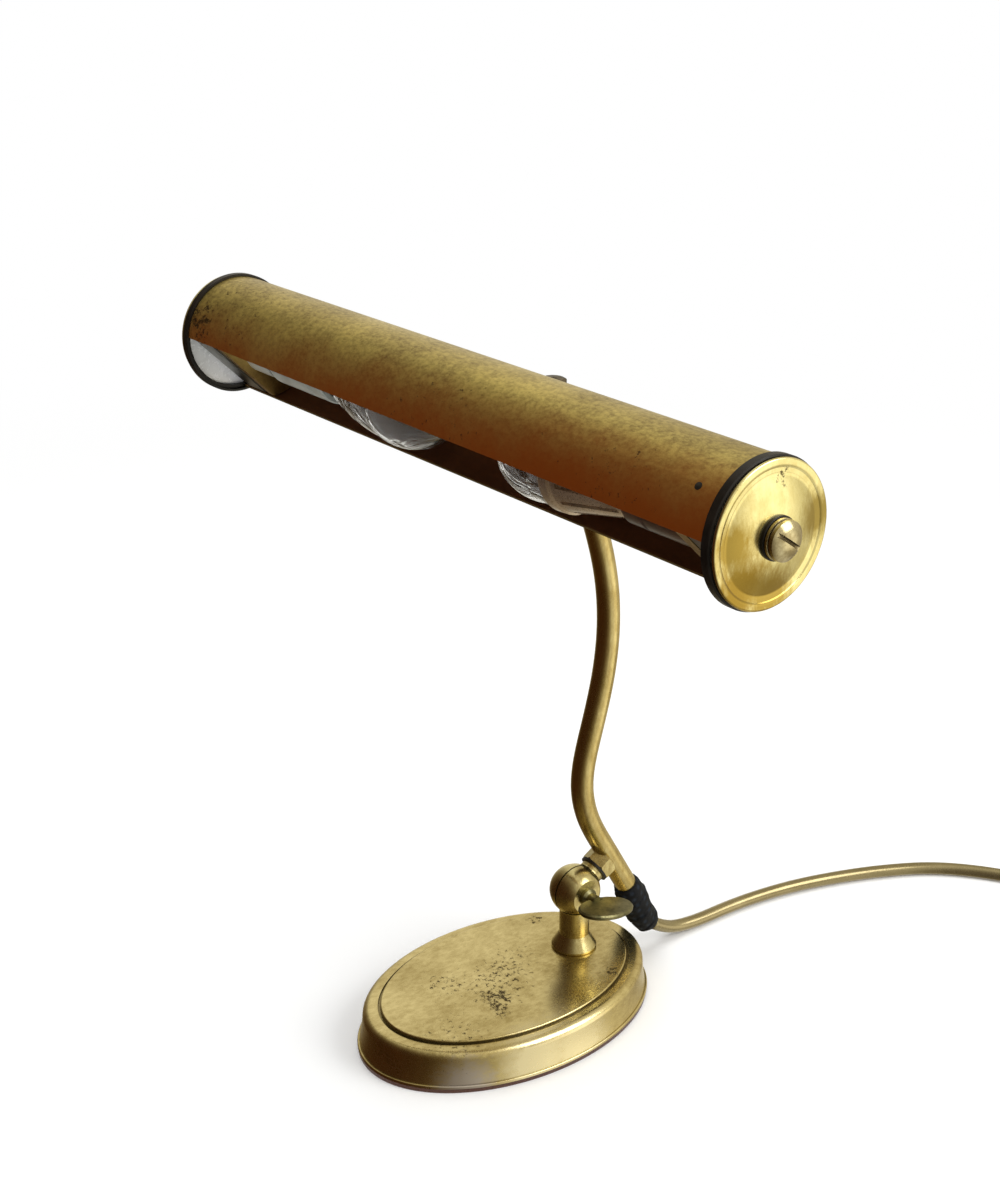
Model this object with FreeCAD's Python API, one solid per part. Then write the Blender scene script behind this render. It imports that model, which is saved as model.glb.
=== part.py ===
import FreeCAD
import Part
import math
import os

# Brass piano lamp.  Millimetres, +Z up, +X along the shade, +Y to the back.
# The origin is on the table, under the middle of the oval base.

# ---------------------------------------------------------------- driving dimensions
# base
BASE_HALF_LENGTH = 72.4
BASE_HALF_WIDTH = 47.8
FELT_THICKNESS = 2.0
FELT_SETBACK = 0.3
LIP_HEIGHT = 1.3
COVER_WALL = 1.4
FOOT_INSET = (0.6, 0.5)
SHOULDER_INSET = (2.9, 1.6)
SHOULDER_ROUND = 3.3
SHOULDER_HEIGHT = 16.0
PLATE_INSET = (11.0, 8.4)
PLATE_RISE = 1.4
PLATE_EDGE_ROUND = 0.6
GROOVE_WIDTH = 1.2
GROOVE_DEPTH = 0.7
WEIGHT_HEIGHT = 11.5
WEIGHT_GAP = 1.0

# post and knuckle
POST_Y = 39.1
STUD_RADIUS = 4.8
STUD_INTO_KNUCKLE = 7.5
NUT_HEIGHT = 5.0
NUT_ACROSS_FLATS = 17.0
WASHER_THICKNESS = 1.2
WASHER_RADIUS = 10.5
RECESS_RADIUS = 11.5
COLLAR_HEIGHT = 7.0
COLLAR_FOOT_RADIUS = 10.1
COLLAR_FOOT_HEIGHT = 1.2
NECK_RADIUS = 6.75
PIVOT_HEIGHT = 48.2
BALL_RADIUS = 11.35
BALL_NECK_ROUND = 2.0
FRICTION_WASHER = 0.6
FRICTION_WASHER_RADIUS = 8.0
SPOT_FACE_X = 8.3
SPOT_FACE_RADIUS = 7.6

# wing screw on the tilt axis
SCREW_RADIUS = 2.4
SCREW_TIP_X = -7.5
SCREW_SHOULDER_RADIUS = 4.1
WING_X = 20.8
WING_HALF_WIDTH = 8.8
WING_HALF_LENGTH = 14.2
WING_THICKNESS = 2.3
WING_TURN = -9.0

# coupling from the upper knuckle to the arm
STEM_ANGLE = 30.5
PIVOT_TO_ARM = 22.2
STEM_RADIUS = 5.6
STEM_REACH = 12.4
COUPLING_WASHER_THICKNESS = 1.0
COUPLING_WASHER_RADIUS = 6.9
COUPLING_NUT_FLATS = 12.6
COUPLING_STUD_RADIUS = 2.9

# arm: a bent tube in the plane x = 0
ARM_RADIUS = 5.0
ARM_WALL = 1.0
ARM_TAIL = 28.0
ARM_ROUTE = ((44.4, 86.0), (41.95, 99.4), (46.3, 124.0), (52.2, 147.5), (54.6, 168.3), (52.6, 194.4),
             (46.7, 216.5), (37.3, 240.5))
ARM_TOP = (25.4, 263.3)
ARM_TOP_HEADING = 120.0
BUSH_WALL = 0.9
BUSH_FLANGE = 1.2

# ball head, switch knob and nipple at the top of the arm
HEAD_RADIUS = 8.6
HEAD_SET = 7.2
HEAD_FLAT = 1.2
FERRULE_RADIUS = 6.6
FERRULE_LENGTH = 5.0
KNOB_RADIUS = 5.5
KNOB_HEIGHT = 9.2
KNOB_GAP = 0.4
KNOB_HEADING = 90.0
KNOB_FLUTES = 18
SPINDLE_RADIUS = 1.9
SPINDLE_LENGTH = 2.4
SWITCH_RADIUS = 5.2
SWITCH_LENGTH = 3.6
SWITCH_TOP = 6.2
NIPPLE_RADIUS = 5.0
NIPPLE_INTO_HEAD = 1.7
NIPPLE_WALL = 1.2
NIPPLE_NUT_FLATS = 14.0
NIPPLE_NUT_HEIGHT = 3.0
NIPPLE_FLANGE_RADIUS = 8.0
NIPPLE_FLANGE_THICKNESS = 1.6

# shade: a slit tube that turns round its own axis
SHADE_Y = -25.4
SHADE_Z = 279.1
SHADE_RADIUS = 25.0
SHADE_WALL = 0.8
SHADE_HALF_LENGTH = 160.4
OPENING_FRONT = 175.8
OPENING_BACK = 276.0
SHADE_TRAVEL = 25.0
RIVET_SETBACK = 10.9
RIVET_ANGLE = 138.6
RIVET_RADIUS = 1.4

# shade ends
RING_RADIUS = 26.1
RING_WIDTH = 3.8
RING_LAP = 1.6
RING_BORE = 23.4
CAP_RADIUS = 25.5
CAP_WALL = 0.7
CAP_RIM_WIDTH = 3.4
CAP_RIM_RISE = 1.3
CAP_DOME = 2.8
LINER_THICKNESS = 0.5
CAP_WASHER_RADIUS = 7.6
CAP_WASHER_THICKNESS = 1.5
CAP_COLLAR_RADIUS = 7.1
CAP_COLLAR_THICKNESS = 2.3
CAP_SCREW_RADIUS = 2.5
CAP_HEAD_RADIUS = 6.9
CAP_HEAD_RIM = 0.9
CAP_HEAD_DOME = 2.0
CAP_SLOT_WIDTH = 1.4
CAP_SLOT_DEPTH = 1.5
CAP_SLOT_TURN = {1: 55.0, -1: 35.0}

# chassis inside the shade
RAIL_THICKNESS = 1.5
RAIL_GAP = 0.8
RAIL_FROM = -34.0
RAIL_TO = 48.0
SHEET = 1.0
END_PLATE_SETBACK = 4.9
END_FLANGE = 14.0
END_BOSS_LENGTH = 2.5
END_BOSS_WALL = 2.0
BULKHEAD_LEFT_GAP = 20.7
BULKHEAD_RIGHT_GAP = 7.5
BULKHEAD_LIP = 4.0
FLANGE_GAP = 2.0
CHORD_SETBACK = 0.7

# lampholders and bulbs
HOLDER_RADIUS = 13.0
HOLDER_LENGTH = 42.0
HOLDER_WALL = 1.6
HOLDER_THROAT = 6.0
HOLDER_GROOVE_FROM = 9.0
HOLDER_GROOVE_DEPTH = 0.5
HOLDER_BACK = 5.0
STANDOFF_LEFT = 16.8
STANDOFF_RADIUS = 12.2
HOLDER_SCREW_RADIUS = 3.0
HOLDER_SCREW_END = 1.5
BULB_RADIUS = 18.5
BULB_LENGTH = 75.0
BULB_WAIST = 40.5
BULB_NECK_RADIUS = 11.0
BULB_CAP_RADIUS = 6.9
BULB_CAP_LENGTH = 24.0
GLASS_WALL = 0.7
TIP_FLAT = 1.0
STEM_PRESS_LENGTH = 26.0
STEM_POST_LENGTH = 46.5
SINK_LENGTH = 36.75
SINK_RIBS = 14
DOME_SETBACK = 0.8
LEAD_RADIUS = 0.9
LEAD_ANGLE = 14.0
LEAD_START_X = 8.6
LEAD_DROP = 5.0
LEAD_ENTRY_LEFT = 7.0
LEAD_ENTRY_RIGHT = -8.0

# cord, tape and plug
CORD_RADIUS = 3.0
TAPE_RADIUS = 6.3
TAPE_TOP = 22.5
TAPE_END_WALL = 1.4
COIL_MID_RADIUS = 33.0
COIL_TURNS_WIDE = 5
COIL_LAYERS = 2
CORD_SIDE_ROOM = 2.2
PLUG_LENGTH = 35.0
PLUG_WIDTH = 26.0
PLUG_HEIGHT = 13.7
PLUG_ROUND = 2.4
PLUG_NECK = 8.4
PLUG_GRIP_FROM = 6.0
PIN_RADIUS = 2.0
PIN_LENGTH = 19.0
PIN_PITCH = 18.6

# The cord's route on the table, from the tape to the coil.
CORD_ROUTE = ((0.0, 86.2, 12.9), (0.0, 93.8, 7.6), (0.2, 103.2, 3.9), (1.4, 117.0, 3.0), (1.7, 136.5, 3.0),
              (4.0, 157.0, 3.0), (8.4, 178.0, 3.0), (15.8, 200.0, 3.0), (25.0, 221.0, 3.0), (38.5, 244.0, 3.0),
              (60.5, 263.0, 3.0), (87.0, 277.0, 3.0), (115.0, 285.5, 3.0))
# The short stretch from the coil to the plug: steps from the coil's middle.
TAIL_STEPS = ((0.0, 36.1, 8.2), (-12.0, 37.1, 8.2), (-24.0, 37.8, 7.3), (-35.5, 36.8, 6.85))

# clearances
THREAD_GAP = 0.05
RUNNING_GAP = 0.08
BODY_GAP = 0.3

# ---------------------------------------------------------------- derived places
X = FreeCAD.Vector(1, 0, 0)
Y = FreeCAD.Vector(0, 1, 0)
Z = FreeCAD.Vector(0, 0, 1)
COVER_FOOT = FELT_THICKNESS
SHOULDER_Z = COVER_FOOT + SHOULDER_HEIGHT
PLATE_Z = SHOULDER_Z + PLATE_RISE
COLLAR_TOP = PLATE_Z + COLLAR_HEIGHT
PIVOT = FreeCAD.Vector(0, POST_Y, PIVOT_HEIGHT)
SHADE_AXIS = FreeCAD.Vector(0, SHADE_Y, SHADE_Z)
STEM = FreeCAD.Vector(0, math.cos(math.radians(STEM_ANGLE)), math.sin(math.radians(STEM_ANGLE)))
ARM_DOWN = FreeCAD.Vector(0, STEM.z, -STEM.y)
ARM_SEAT = PIVOT + STEM * PIVOT_TO_ARM
ARM_FOOT = ARM_SEAT + ARM_DOWN * ARM_TAIL
HEADING = math.radians(ARM_TOP_HEADING)
ARM_UP = FreeCAD.Vector(0, math.cos(HEADING), math.sin(HEADING))
ARM_HEAD = FreeCAD.Vector(0, ARM_TOP[0], ARM_TOP[1])
HEAD_CENTRE = ARM_HEAD + ARM_UP * HEAD_SET
KNOB_UP = FreeCAD.Vector(0, math.cos(math.radians(KNOB_HEADING)), math.sin(math.radians(KNOB_HEADING)))
NIPPLE_AXIS = (SHADE_AXIS - HEAD_CENTRE).normalize()
NIPPLE_ANGLE = math.degrees(math.atan2(-NIPPLE_AXIS.z, -NIPPLE_AXIS.y))
SHADE_BORE = SHADE_RADIUS - SHADE_WALL
RAIL_OUTER = SHADE_BORE - RAIL_GAP
RAIL_INNER = RAIL_OUTER - RAIL_THICKNESS
RING_INNER_X = SHADE_HALF_LENGTH - RING_LAP
RING_OUTER_X = RING_INNER_X + RING_WIDTH
CAP_X = RING_OUTER_X + LINER_THICKNESS
RIVET_X = SHADE_HALF_LENGTH - RIVET_SETBACK
END_PLATE_X = SHADE_HALF_LENGTH - END_PLATE_SETBACK
BULKHEAD_LEFT_X = BULKHEAD_LEFT_GAP - END_PLATE_X
BULKHEAD_RIGHT_X = END_PLATE_X - BULKHEAD_RIGHT_GAP
BULB_LEFT_NECK_X = BULKHEAD_LEFT_X + STANDOFF_LEFT + HOLDER_LENGTH
BULB_RIGHT_NECK_X = BULKHEAD_RIGHT_X - HOLDER_LENGTH
TAIL_ANGLE = STEM_ANGLE - 90.0
TAPE_START = ARM_SEAT + ARM_DOWN * TAPE_TOP
CORD_EXIT = FreeCAD.Vector(*CORD_ROUTE[0])
CORD_EXIT_HEADING = FreeCAD.Vector(*CORD_ROUTE[1]) - CORD_EXIT
CORD_EXIT_ANGLE = math.degrees(math.atan2(CORD_EXIT_HEADING.z, CORD_EXIT_HEADING.y))
# Rings of the wound tape: distance back, height, heading and radius.
TAPE_SECTIONS = ((TAPE_START.y, TAPE_START.z, TAIL_ANGLE, TAPE_RADIUS - 0.7),
                 (TAPE_START.y + 2.0, TAPE_START.z - 3.4, TAIL_ANGLE, TAPE_RADIUS),
                 (ARM_FOOT.y + 1.6, ARM_FOOT.z - 3.2, TAIL_ANGLE + 2, TAPE_RADIUS),
                 (77.9, 23.4, -56.5, TAPE_RADIUS),
                 (82.2, 17.0, -49.0, TAPE_RADIUS - 0.5),
                 (CORD_EXIT.y, CORD_EXIT.z, CORD_EXIT_ANGLE, CORD_RADIUS + TAPE_END_WALL))


# ---------------------------------------------------------------- shape helpers
def outline(points):
    """Closed face in the XY plane. A pair ends a straight edge; a four is an arc's middle and end."""
    edges = []
    last = points[0][-2:]
    for point in points[1:] + [points[0][-2:]]:
        start = FreeCAD.Vector(last[0], last[1], 0)
        end = FreeCAD.Vector(point[-2], point[-1], 0)
        if len(point) == 4:
            edges.append(Part.Arc(start, FreeCAD.Vector(point[0], point[1], 0), end).toShape())
        elif (end - start).Length > 1e-6:
            edges.append(Part.LineSegment(start, end).toShape())
        last = point[-2:]
    return Part.Face(Part.Wire(edges))


def aim(shape, place, direction):
    """Turn a shape built along +X to point along direction, and set its origin at place."""
    shape.Placement = FreeCAD.Placement(place, FreeCAD.Rotation(X, direction))
    return shape


def turned(points, place, direction):
    """Solid of revolution; points are (distance along the axis, radius)."""
    return aim(outline(points).revolve(FreeCAD.Vector(), X, 360), place, direction)


def rod(start, direction, length, radius):
    """Round bar from start along direction."""
    return Part.makeCylinder(radius, length, start, direction)


def tube(start, direction, length, radius, bore):
    """Round bar with a through bore."""
    return rod(start, direction, length, radius).cut(rod(start, direction, length, bore))


def hexagon(across_flats, height, place, direction):
    """Six-sided prism with its faces bevelled at both ends, as a nut has."""
    corner = across_flats / math.sqrt(3)
    points = [FreeCAD.Vector(0, corner * math.cos(math.radians(60 * i)), corner * math.sin(math.radians(60 * i)))
              for i in range(7)]
    prism = Part.Face(Part.makePolygon(points)).extrude(X * height)
    bevel = (corner - across_flats / 2) * 0.6
    barrel = turned([(0, 0), (0, corner - bevel), (bevel, corner), (height - bevel, corner),
                     (height, corner - bevel), (height, 0)], FreeCAD.Vector(), X)
    return aim(prism.common(barrel), place, direction)


def one_solid(shape):
    """The single solid that a boolean leaves inside its compound."""
    solids = shape.removeSplitter().Solids
    return max(solids, key=lambda solid: solid.Volume)


def oval(insets, z):
    """Ellipse wire of the base's outline, drawn in by (end inset, side inset)."""
    ring = Part.Ellipse(FreeCAD.Vector(0, 0, z), BASE_HALF_LENGTH - insets[0], BASE_HALF_WIDTH - insets[1])
    wire = Part.Wire([ring.toShape()])
    wire.rotate(FreeCAD.Vector(), Z, 90)
    return wire


def oval_slab(insets, z_low, z_high):
    """Flat oval plate between two heights."""
    return Part.Face(oval(insets, z_low)).extrude(Z * (z_high - z_low))


def more(insets, extra):
    """An inset pair drawn in by the same extra amount all round."""
    return (insets[0] + extra, insets[1] + extra)


def edges_at(shape, z):
    """Edges that lie flat at one height."""
    return [edge for edge in shape.Edges
            if abs(edge.BoundBox.ZMin - z) < 1e-4 and abs(edge.BoundBox.ZMax - z) < 1e-4]


def shade_point(x, radius, angle):
    """Point inside the shade, by its place along the axis, radius and angle from the back."""
    turn = math.radians(angle)
    return SHADE_AXIS + FreeCAD.Vector(x, radius * math.cos(turn), radius * math.sin(turn))


def side_name(side):
    """Name of a shade end: -1 is the left end, +1 the right."""
    return "left" if side < 0 else "right"


def opening_cutter(x_from, x_to, setback):
    """Half-space block beyond the opening's chord, to trim plates flush with the opening."""
    front = shade_point(0, SHADE_RADIUS, OPENING_FRONT)
    back = shade_point(0, SHADE_RADIUS, OPENING_BACK)
    along = (back - front).normalize()
    outward = FreeCAD.Vector(0, along.z, -along.y)
    middle = (front + back) * 0.5 - outward * setback
    reach = 3 * SHADE_RADIUS
    corners = [middle - along * reach, middle + along * reach,
               middle + along * reach + outward * reach, middle - along * reach + outward * reach]
    corners = [FreeCAD.Vector(x_from, p.y, p.z) for p in corners]
    return Part.Face(Part.makePolygon(corners + corners[:1])).extrude(X * (x_to - x_from))


def chord_strip(x_from, x_to, thickness):
    """Flat flange that closes a sheet part along the opening's chord."""
    low = opening_cutter(x_from, x_to, CHORD_SETBACK)
    high = opening_cutter(x_from, x_to, CHORD_SETBACK + thickness)
    band = high.cut(low)
    return band.common(rod(SHADE_AXIS + X * x_from, X, x_to - x_from, RAIL_OUTER))


# ---------------------------------------------------------------- base
def side_wall(extra, z_top):
    """Flared oval body from the foot up to z_top, drawn in by the wall where it is the hollow."""
    sections = []
    steps = 4
    for i in range(steps + 1):
        rise = i / steps
        bow = 1 - (1 - rise) ** 2
        insets = [FOOT_INSET[k] + (SHOULDER_INSET[k] - FOOT_INSET[k]) * bow for k in (0, 1)]
        sections.append(oval(more(insets, extra), COVER_FOOT + (z_top - COVER_FOOT) * rise))
    return Part.makeLoft(sections, True, False)


def base_cover():
    """Spun brass cover: flared side, rounded shoulder, grooved step and raised plate, hollow below."""
    body = side_wall(0, SHOULDER_Z)
    body = body.makeFillet(SHOULDER_ROUND, edges_at(body, SHOULDER_Z))
    lip = oval_slab((0, 0), COVER_FOOT, COVER_FOOT + LIP_HEIGHT)
    lip = lip.makeFillet(LIP_HEIGHT * 0.35, edges_at(lip, COVER_FOOT + LIP_HEIGHT))
    plate = oval_slab(PLATE_INSET, SHOULDER_Z - COVER_WALL, PLATE_Z)
    plate = plate.makeFillet(PLATE_EDGE_ROUND, edges_at(plate, PLATE_Z))
    groove = oval_slab(more(PLATE_INSET, -GROOVE_WIDTH), SHOULDER_Z - GROOVE_DEPTH, SHOULDER_Z)
    body = body.fuse(lip).cut(groove).fuse(plate)
    hollow_top = SHOULDER_Z - COVER_WALL
    hollow = side_wall(COVER_WALL, hollow_top)
    hollow = hollow.makeFillet(SHOULDER_ROUND - COVER_WALL, edges_at(hollow, hollow_top))
    under_plate = oval_slab(more(PLATE_INSET, COVER_WALL), hollow_top - 1, PLATE_Z - COVER_WALL)
    bore = rod(FreeCAD.Vector(0, POST_Y, 0), Z, PLATE_Z + 1, STUD_RADIUS + THREAD_GAP)
    return one_solid(body.cut(hollow).cut(under_plate).cut(bore))


def base_weight():
    """Cast iron slab inside the cover, with a recess for the post's nut and a pad under the plate."""
    insets = more(SHOULDER_INSET, COVER_WALL + WEIGHT_GAP)
    top = COVER_FOOT + WEIGHT_HEIGHT
    slab = oval_slab(insets, COVER_FOOT, top)
    slab = slab.makeChamfer(WEIGHT_GAP, edges_at(slab, top))
    recess_top = COVER_FOOT + NUT_HEIGHT + WASHER_THICKNESS + THREAD_GAP
    recess = rod(FreeCAD.Vector(0, POST_Y, 0), Z, recess_top, RECESS_RADIUS)
    bore = rod(FreeCAD.Vector(0, POST_Y, 0), Z, top + 1, STUD_RADIUS + THREAD_GAP)
    pad_height = PLATE_Z - COVER_WALL - top
    pad = tube(FreeCAD.Vector(0, POST_Y, top), Z, pad_height, RECESS_RADIUS, STUD_RADIUS + THREAD_GAP)
    return one_solid(slab.fuse(pad).cut(recess).cut(bore))


def base_felt():
    """Felt pad under the weight, set just inside the cover's lip."""
    return oval_slab((FELT_SETBACK, FELT_SETBACK), 0, FELT_THICKNESS)


# ---------------------------------------------------------------- post and knuckle
def post_stud():
    """Threaded stud from the nut under the base up into the lower knuckle."""
    low = COVER_FOOT + THREAD_GAP
    return rod(FreeCAD.Vector(0, POST_Y, low), Z, COLLAR_TOP + STUD_INTO_KNUCKLE - low, STUD_RADIUS)


def post_washer():
    """Flat washer between the nut and the weight."""
    low = COVER_FOOT + NUT_HEIGHT + THREAD_GAP
    return tube(FreeCAD.Vector(0, POST_Y, low), Z, WASHER_THICKNESS, WASHER_RADIUS, STUD_RADIUS + THREAD_GAP)


def post_nut():
    """Hexagon nut that pulls the post down on the base."""
    place = FreeCAD.Vector(0, POST_Y, COVER_FOOT + THREAD_GAP)
    nut = hexagon(NUT_ACROSS_FLATS, NUT_HEIGHT, place, Z)
    return one_solid(nut.cut(rod(place, Z, NUT_HEIGHT, STUD_RADIUS + THREAD_GAP)))


def post_collar():
    """Turned conical collar between the base plate and the knuckle's neck."""
    bore = STUD_RADIUS + THREAD_GAP
    foot = COLLAR_FOOT_HEIGHT
    profile = [(0, bore), (0, COLLAR_FOOT_RADIUS - 0.4), (0.4, COLLAR_FOOT_RADIUS), (foot, COLLAR_FOOT_RADIUS),
               (COLLAR_HEIGHT, NECK_RADIUS), (COLLAR_HEIGHT, bore)]
    return turned(profile, FreeCAD.Vector(0, POST_Y, PLATE_Z), Z)


def knuckle_half(axis, neck_length, neck_radius, side):
    """Half ball with a round neck along axis; side is the half of the ball that is kept."""
    ball = Part.makeSphere(BALL_RADIUS, PIVOT)
    body = ball.fuse(rod(PIVOT, axis, neck_length, neck_radius)).removeSplitter()
    seam = math.sqrt(BALL_RADIUS ** 2 - neck_radius ** 2)
    joint = [edge for edge in body.Edges
             if not edge.Degenerated and edge.Curve.TypeId == "Part::GeomCircle"
             and abs(edge.Curve.Radius - neck_radius) < 1e-3
             and abs((edge.Curve.Center - PIVOT).Length - seam) < 1e-3]
    round_size = min(BALL_NECK_ROUND, (neck_length - seam) * 0.45)
    body = body.makeFillet(round_size, joint)
    reach = 2 * BALL_RADIUS
    half = Part.makeBox(reach, 2 * reach, 2 * reach,
                        FreeCAD.Vector(-reach if side > 0 else 0, POST_Y - reach, PIVOT_HEIGHT - reach))
    half.translate(X * side * (FRICTION_WASHER / 2 + (RUNNING_GAP if side > 0 else 0)))
    return body.cut(half.common(Part.makeSphere(BALL_RADIUS + BODY_GAP, PIVOT)))


def knuckle_lower():
    """Lower half of the ball, with the neck that stands on the collar."""
    body = knuckle_half(-Z, PIVOT_HEIGHT - COLLAR_TOP, NECK_RADIUS, -1)
    bore = rod(FreeCAD.Vector(0, POST_Y, COLLAR_TOP), Z, STUD_INTO_KNUCKLE, STUD_RADIUS + THREAD_GAP)
    thread = rod(PIVOT, -X, -SCREW_TIP_X + 0.6, SCREW_RADIUS + THREAD_GAP)
    return one_solid(body.cut(bore).cut(thread))


def knuckle_upper():
    """Upper half of the ball, with the stem that carries the arm."""
    body = knuckle_half(STEM, STEM_REACH, STEM_RADIUS, 1)
    spot = rod(PIVOT + X * SPOT_FACE_X, X, BALL_RADIUS, SPOT_FACE_RADIUS)
    clearance = rod(PIVOT, X, BALL_RADIUS, SCREW_RADIUS + BODY_GAP)
    stud = rod(PIVOT + STEM * (STEM_REACH - 0.5), STEM, PIVOT_TO_ARM - ARM_RADIUS - STEM_REACH + ARM_WALL,
               COUPLING_STUD_RADIUS)
    return one_solid(body.cut(spot).cut(clearance).fuse(stud))


def knuckle_washer():
    """Thin friction washer between the ball's halves."""
    start = PIVOT - X * (FRICTION_WASHER / 2)
    return tube(start, X, FRICTION_WASHER, FRICTION_WASHER_RADIUS, SCREW_RADIUS + BODY_GAP)


def wing_screw():
    """Shouldered screw on the tilt axis with a flat oval wing to turn it by."""
    shoulder = SPOT_FACE_X + RUNNING_GAP
    wing_start = WING_X - WING_HALF_WIDTH
    profile = [(SCREW_TIP_X, 0), (SCREW_TIP_X, SCREW_RADIUS - 0.5), (SCREW_TIP_X + 0.5, SCREW_RADIUS),
               (shoulder, SCREW_RADIUS), (shoulder, SCREW_SHOULDER_RADIUS),
               (shoulder + 1.4, SCREW_SHOULDER_RADIUS), (shoulder + 2.4, SCREW_SHOULDER_RADIUS - 1.2),
               (wing_start + 3.0, SCREW_SHOULDER_RADIUS - 1.2), (wing_start + 3.0, 0)]
    shaft = turned(profile, PIVOT, X)
    edge = WING_THICKNESS * 0.3
    half = WING_THICKNESS / 2
    sections = []
    for z, inset in ((-half, edge), (edge - half, 0), (half - edge, 0), (half, edge)):
        ring = Part.Ellipse(FreeCAD.Vector(0, 0, z), WING_HALF_LENGTH - inset, WING_HALF_WIDTH - inset)
        sections.append(Part.Wire([ring.toShape()]))
    wing = Part.makeLoft(sections, True, True)
    wing.rotate(FreeCAD.Vector(), Z, 90)
    wing.translate(PIVOT + X * WING_X)
    wing.rotate(PIVOT, X, WING_TURN)
    return one_solid(shaft.fuse(wing))


# ---------------------------------------------------------------- coupling and arm
def arm_centreline():
    """Bent line of the arm from its foot to its top: a straight tail and one smooth curve."""
    bend_start = ARM_SEAT - ARM_DOWN * 13.0
    points = [bend_start] + [FreeCAD.Vector(0, y, z) for y, z in ARM_ROUTE] + [ARM_HEAD]
    knots = [0.0]
    for before, after in zip(points, points[1:]):
        knots.append(knots[-1] + (after - before).Length)
    curve = Part.BSplineCurve()
    curve.interpolate(Points=points, Parameters=knots, InitialTangent=-ARM_DOWN, FinalTangent=ARM_UP, Scale=False)
    tail = Part.LineSegment(ARM_FOOT, bend_start).toShape()
    return Part.Wire([tail, curve.toShape()])


def swept(path, radius):
    """Round solid along a path that starts at its first vertex."""
    first = path.Edges[0]
    start = first.valueAt(first.FirstParameter)
    heading = first.tangentAt(first.FirstParameter)
    ring = Part.Wire([Part.Circle(start, heading, radius).toShape()])
    return path.makePipeShell([ring], True, False)


def coupling_parts():
    """Rubber washer and hexagon nut that clamp the upper knuckle to the arm."""
    washer_start = PIVOT + STEM * STEM_REACH
    bore = COUPLING_STUD_RADIUS + THREAD_GAP
    washer = tube(washer_start, STEM, COUPLING_WASHER_THICKNESS, COUPLING_WASHER_RADIUS, bore)
    nut_start = washer_start + STEM * COUPLING_WASHER_THICKNESS
    nut_length = PIVOT_TO_ARM - STEM_REACH - COUPLING_WASHER_THICKNESS - ARM_RADIUS * 0.55
    nut = hexagon(COUPLING_NUT_FLATS, nut_length, nut_start, STEM)
    nut = nut.cut(rod(nut_start, STEM, nut_length, bore))
    saddle = rod(ARM_FOOT, -ARM_DOWN, 2 * ARM_TAIL, ARM_RADIUS)
    return washer, one_solid(nut.cut(saddle))


def arm_tube():
    """Bent brass tube, with the coupling stud's hole in its straight foot."""
    path = arm_centreline()
    body = swept(path, ARM_RADIUS).cut(swept(path, ARM_RADIUS - ARM_WALL))
    drilling = rod(ARM_SEAT - STEM * 2 * ARM_RADIUS, STEM, 2 * ARM_RADIUS, COUPLING_STUD_RADIUS + THREAD_GAP)
    return one_solid(body.cut(drilling))


def arm_bush():
    """Insulating bush in the open foot of the arm, which the cord goes in through."""
    bore = ARM_RADIUS - ARM_WALL - BUSH_WALL
    outer = ARM_RADIUS - ARM_WALL - THREAD_GAP
    profile = [(-BUSH_FLANGE, bore), (-BUSH_FLANGE, ARM_RADIUS - 0.3), (0, ARM_RADIUS - 0.3), (0, outer),
               (8, outer), (8, bore)]
    return turned(profile, ARM_FOOT, -ARM_DOWN)


def tape_path():
    """Places, headings and radii of the tape wound over the arm's foot and the cord."""
    places = []
    for back, drop, angle, radius in TAPE_SECTIONS:
        turn = math.radians(angle)
        heading = FreeCAD.Vector(0, math.cos(turn), math.sin(turn))
        places.append((FreeCAD.Vector(0, back, drop), heading, radius))
    return places


def tape_wrap():
    """Tape wound over the arm's foot and the start of the cord, tapering down to the cord."""
    rings = [Part.Wire([Part.Circle(place, heading, radius).toShape()]) for place, heading, radius in tape_path()]
    body = Part.makeLoft(rings, True, False)
    arm = rod(ARM_FOOT, -ARM_DOWN, ARM_TAIL, ARM_RADIUS)
    bush = rod(ARM_FOOT, ARM_DOWN, BUSH_FLANGE, ARM_RADIUS - 0.3)
    return one_solid(body.cut(arm).cut(bush))


# ---------------------------------------------------------------- ball head and switch
def head_ball():
    """Hollow ball at the arm's top: arm socket below, nipple bore in front, switch pocket above."""
    ball = Part.makeSphere(HEAD_RADIUS, HEAD_CENTRE)
    flat = rod(HEAD_CENTRE + KNOB_UP * (HEAD_RADIUS - HEAD_FLAT), KNOB_UP, HEAD_RADIUS, HEAD_RADIUS)
    below = HEAD_CENTRE - ARM_UP * 2 * HEAD_RADIUS
    socket = rod(below, ARM_UP, 2 * HEAD_RADIUS - HEAD_SET, ARM_RADIUS + THREAD_GAP)
    port = rod(HEAD_CENTRE, NIPPLE_AXIS, 2 * HEAD_RADIUS, NIPPLE_RADIUS + THREAD_GAP)
    passage = rod(HEAD_CENTRE - ARM_UP * HEAD_SET, ARM_UP, HEAD_SET, ARM_RADIUS - ARM_WALL)
    pocket = rod(HEAD_CENTRE, KNOB_UP, SWITCH_TOP, SWITCH_RADIUS + THREAD_GAP)
    spindle = rod(HEAD_CENTRE, KNOB_UP, 2 * HEAD_RADIUS, SPINDLE_RADIUS + RUNNING_GAP)
    return one_solid(ball.cut(flat).cut(socket).cut(port).cut(passage).cut(pocket).cut(spindle))


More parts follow.
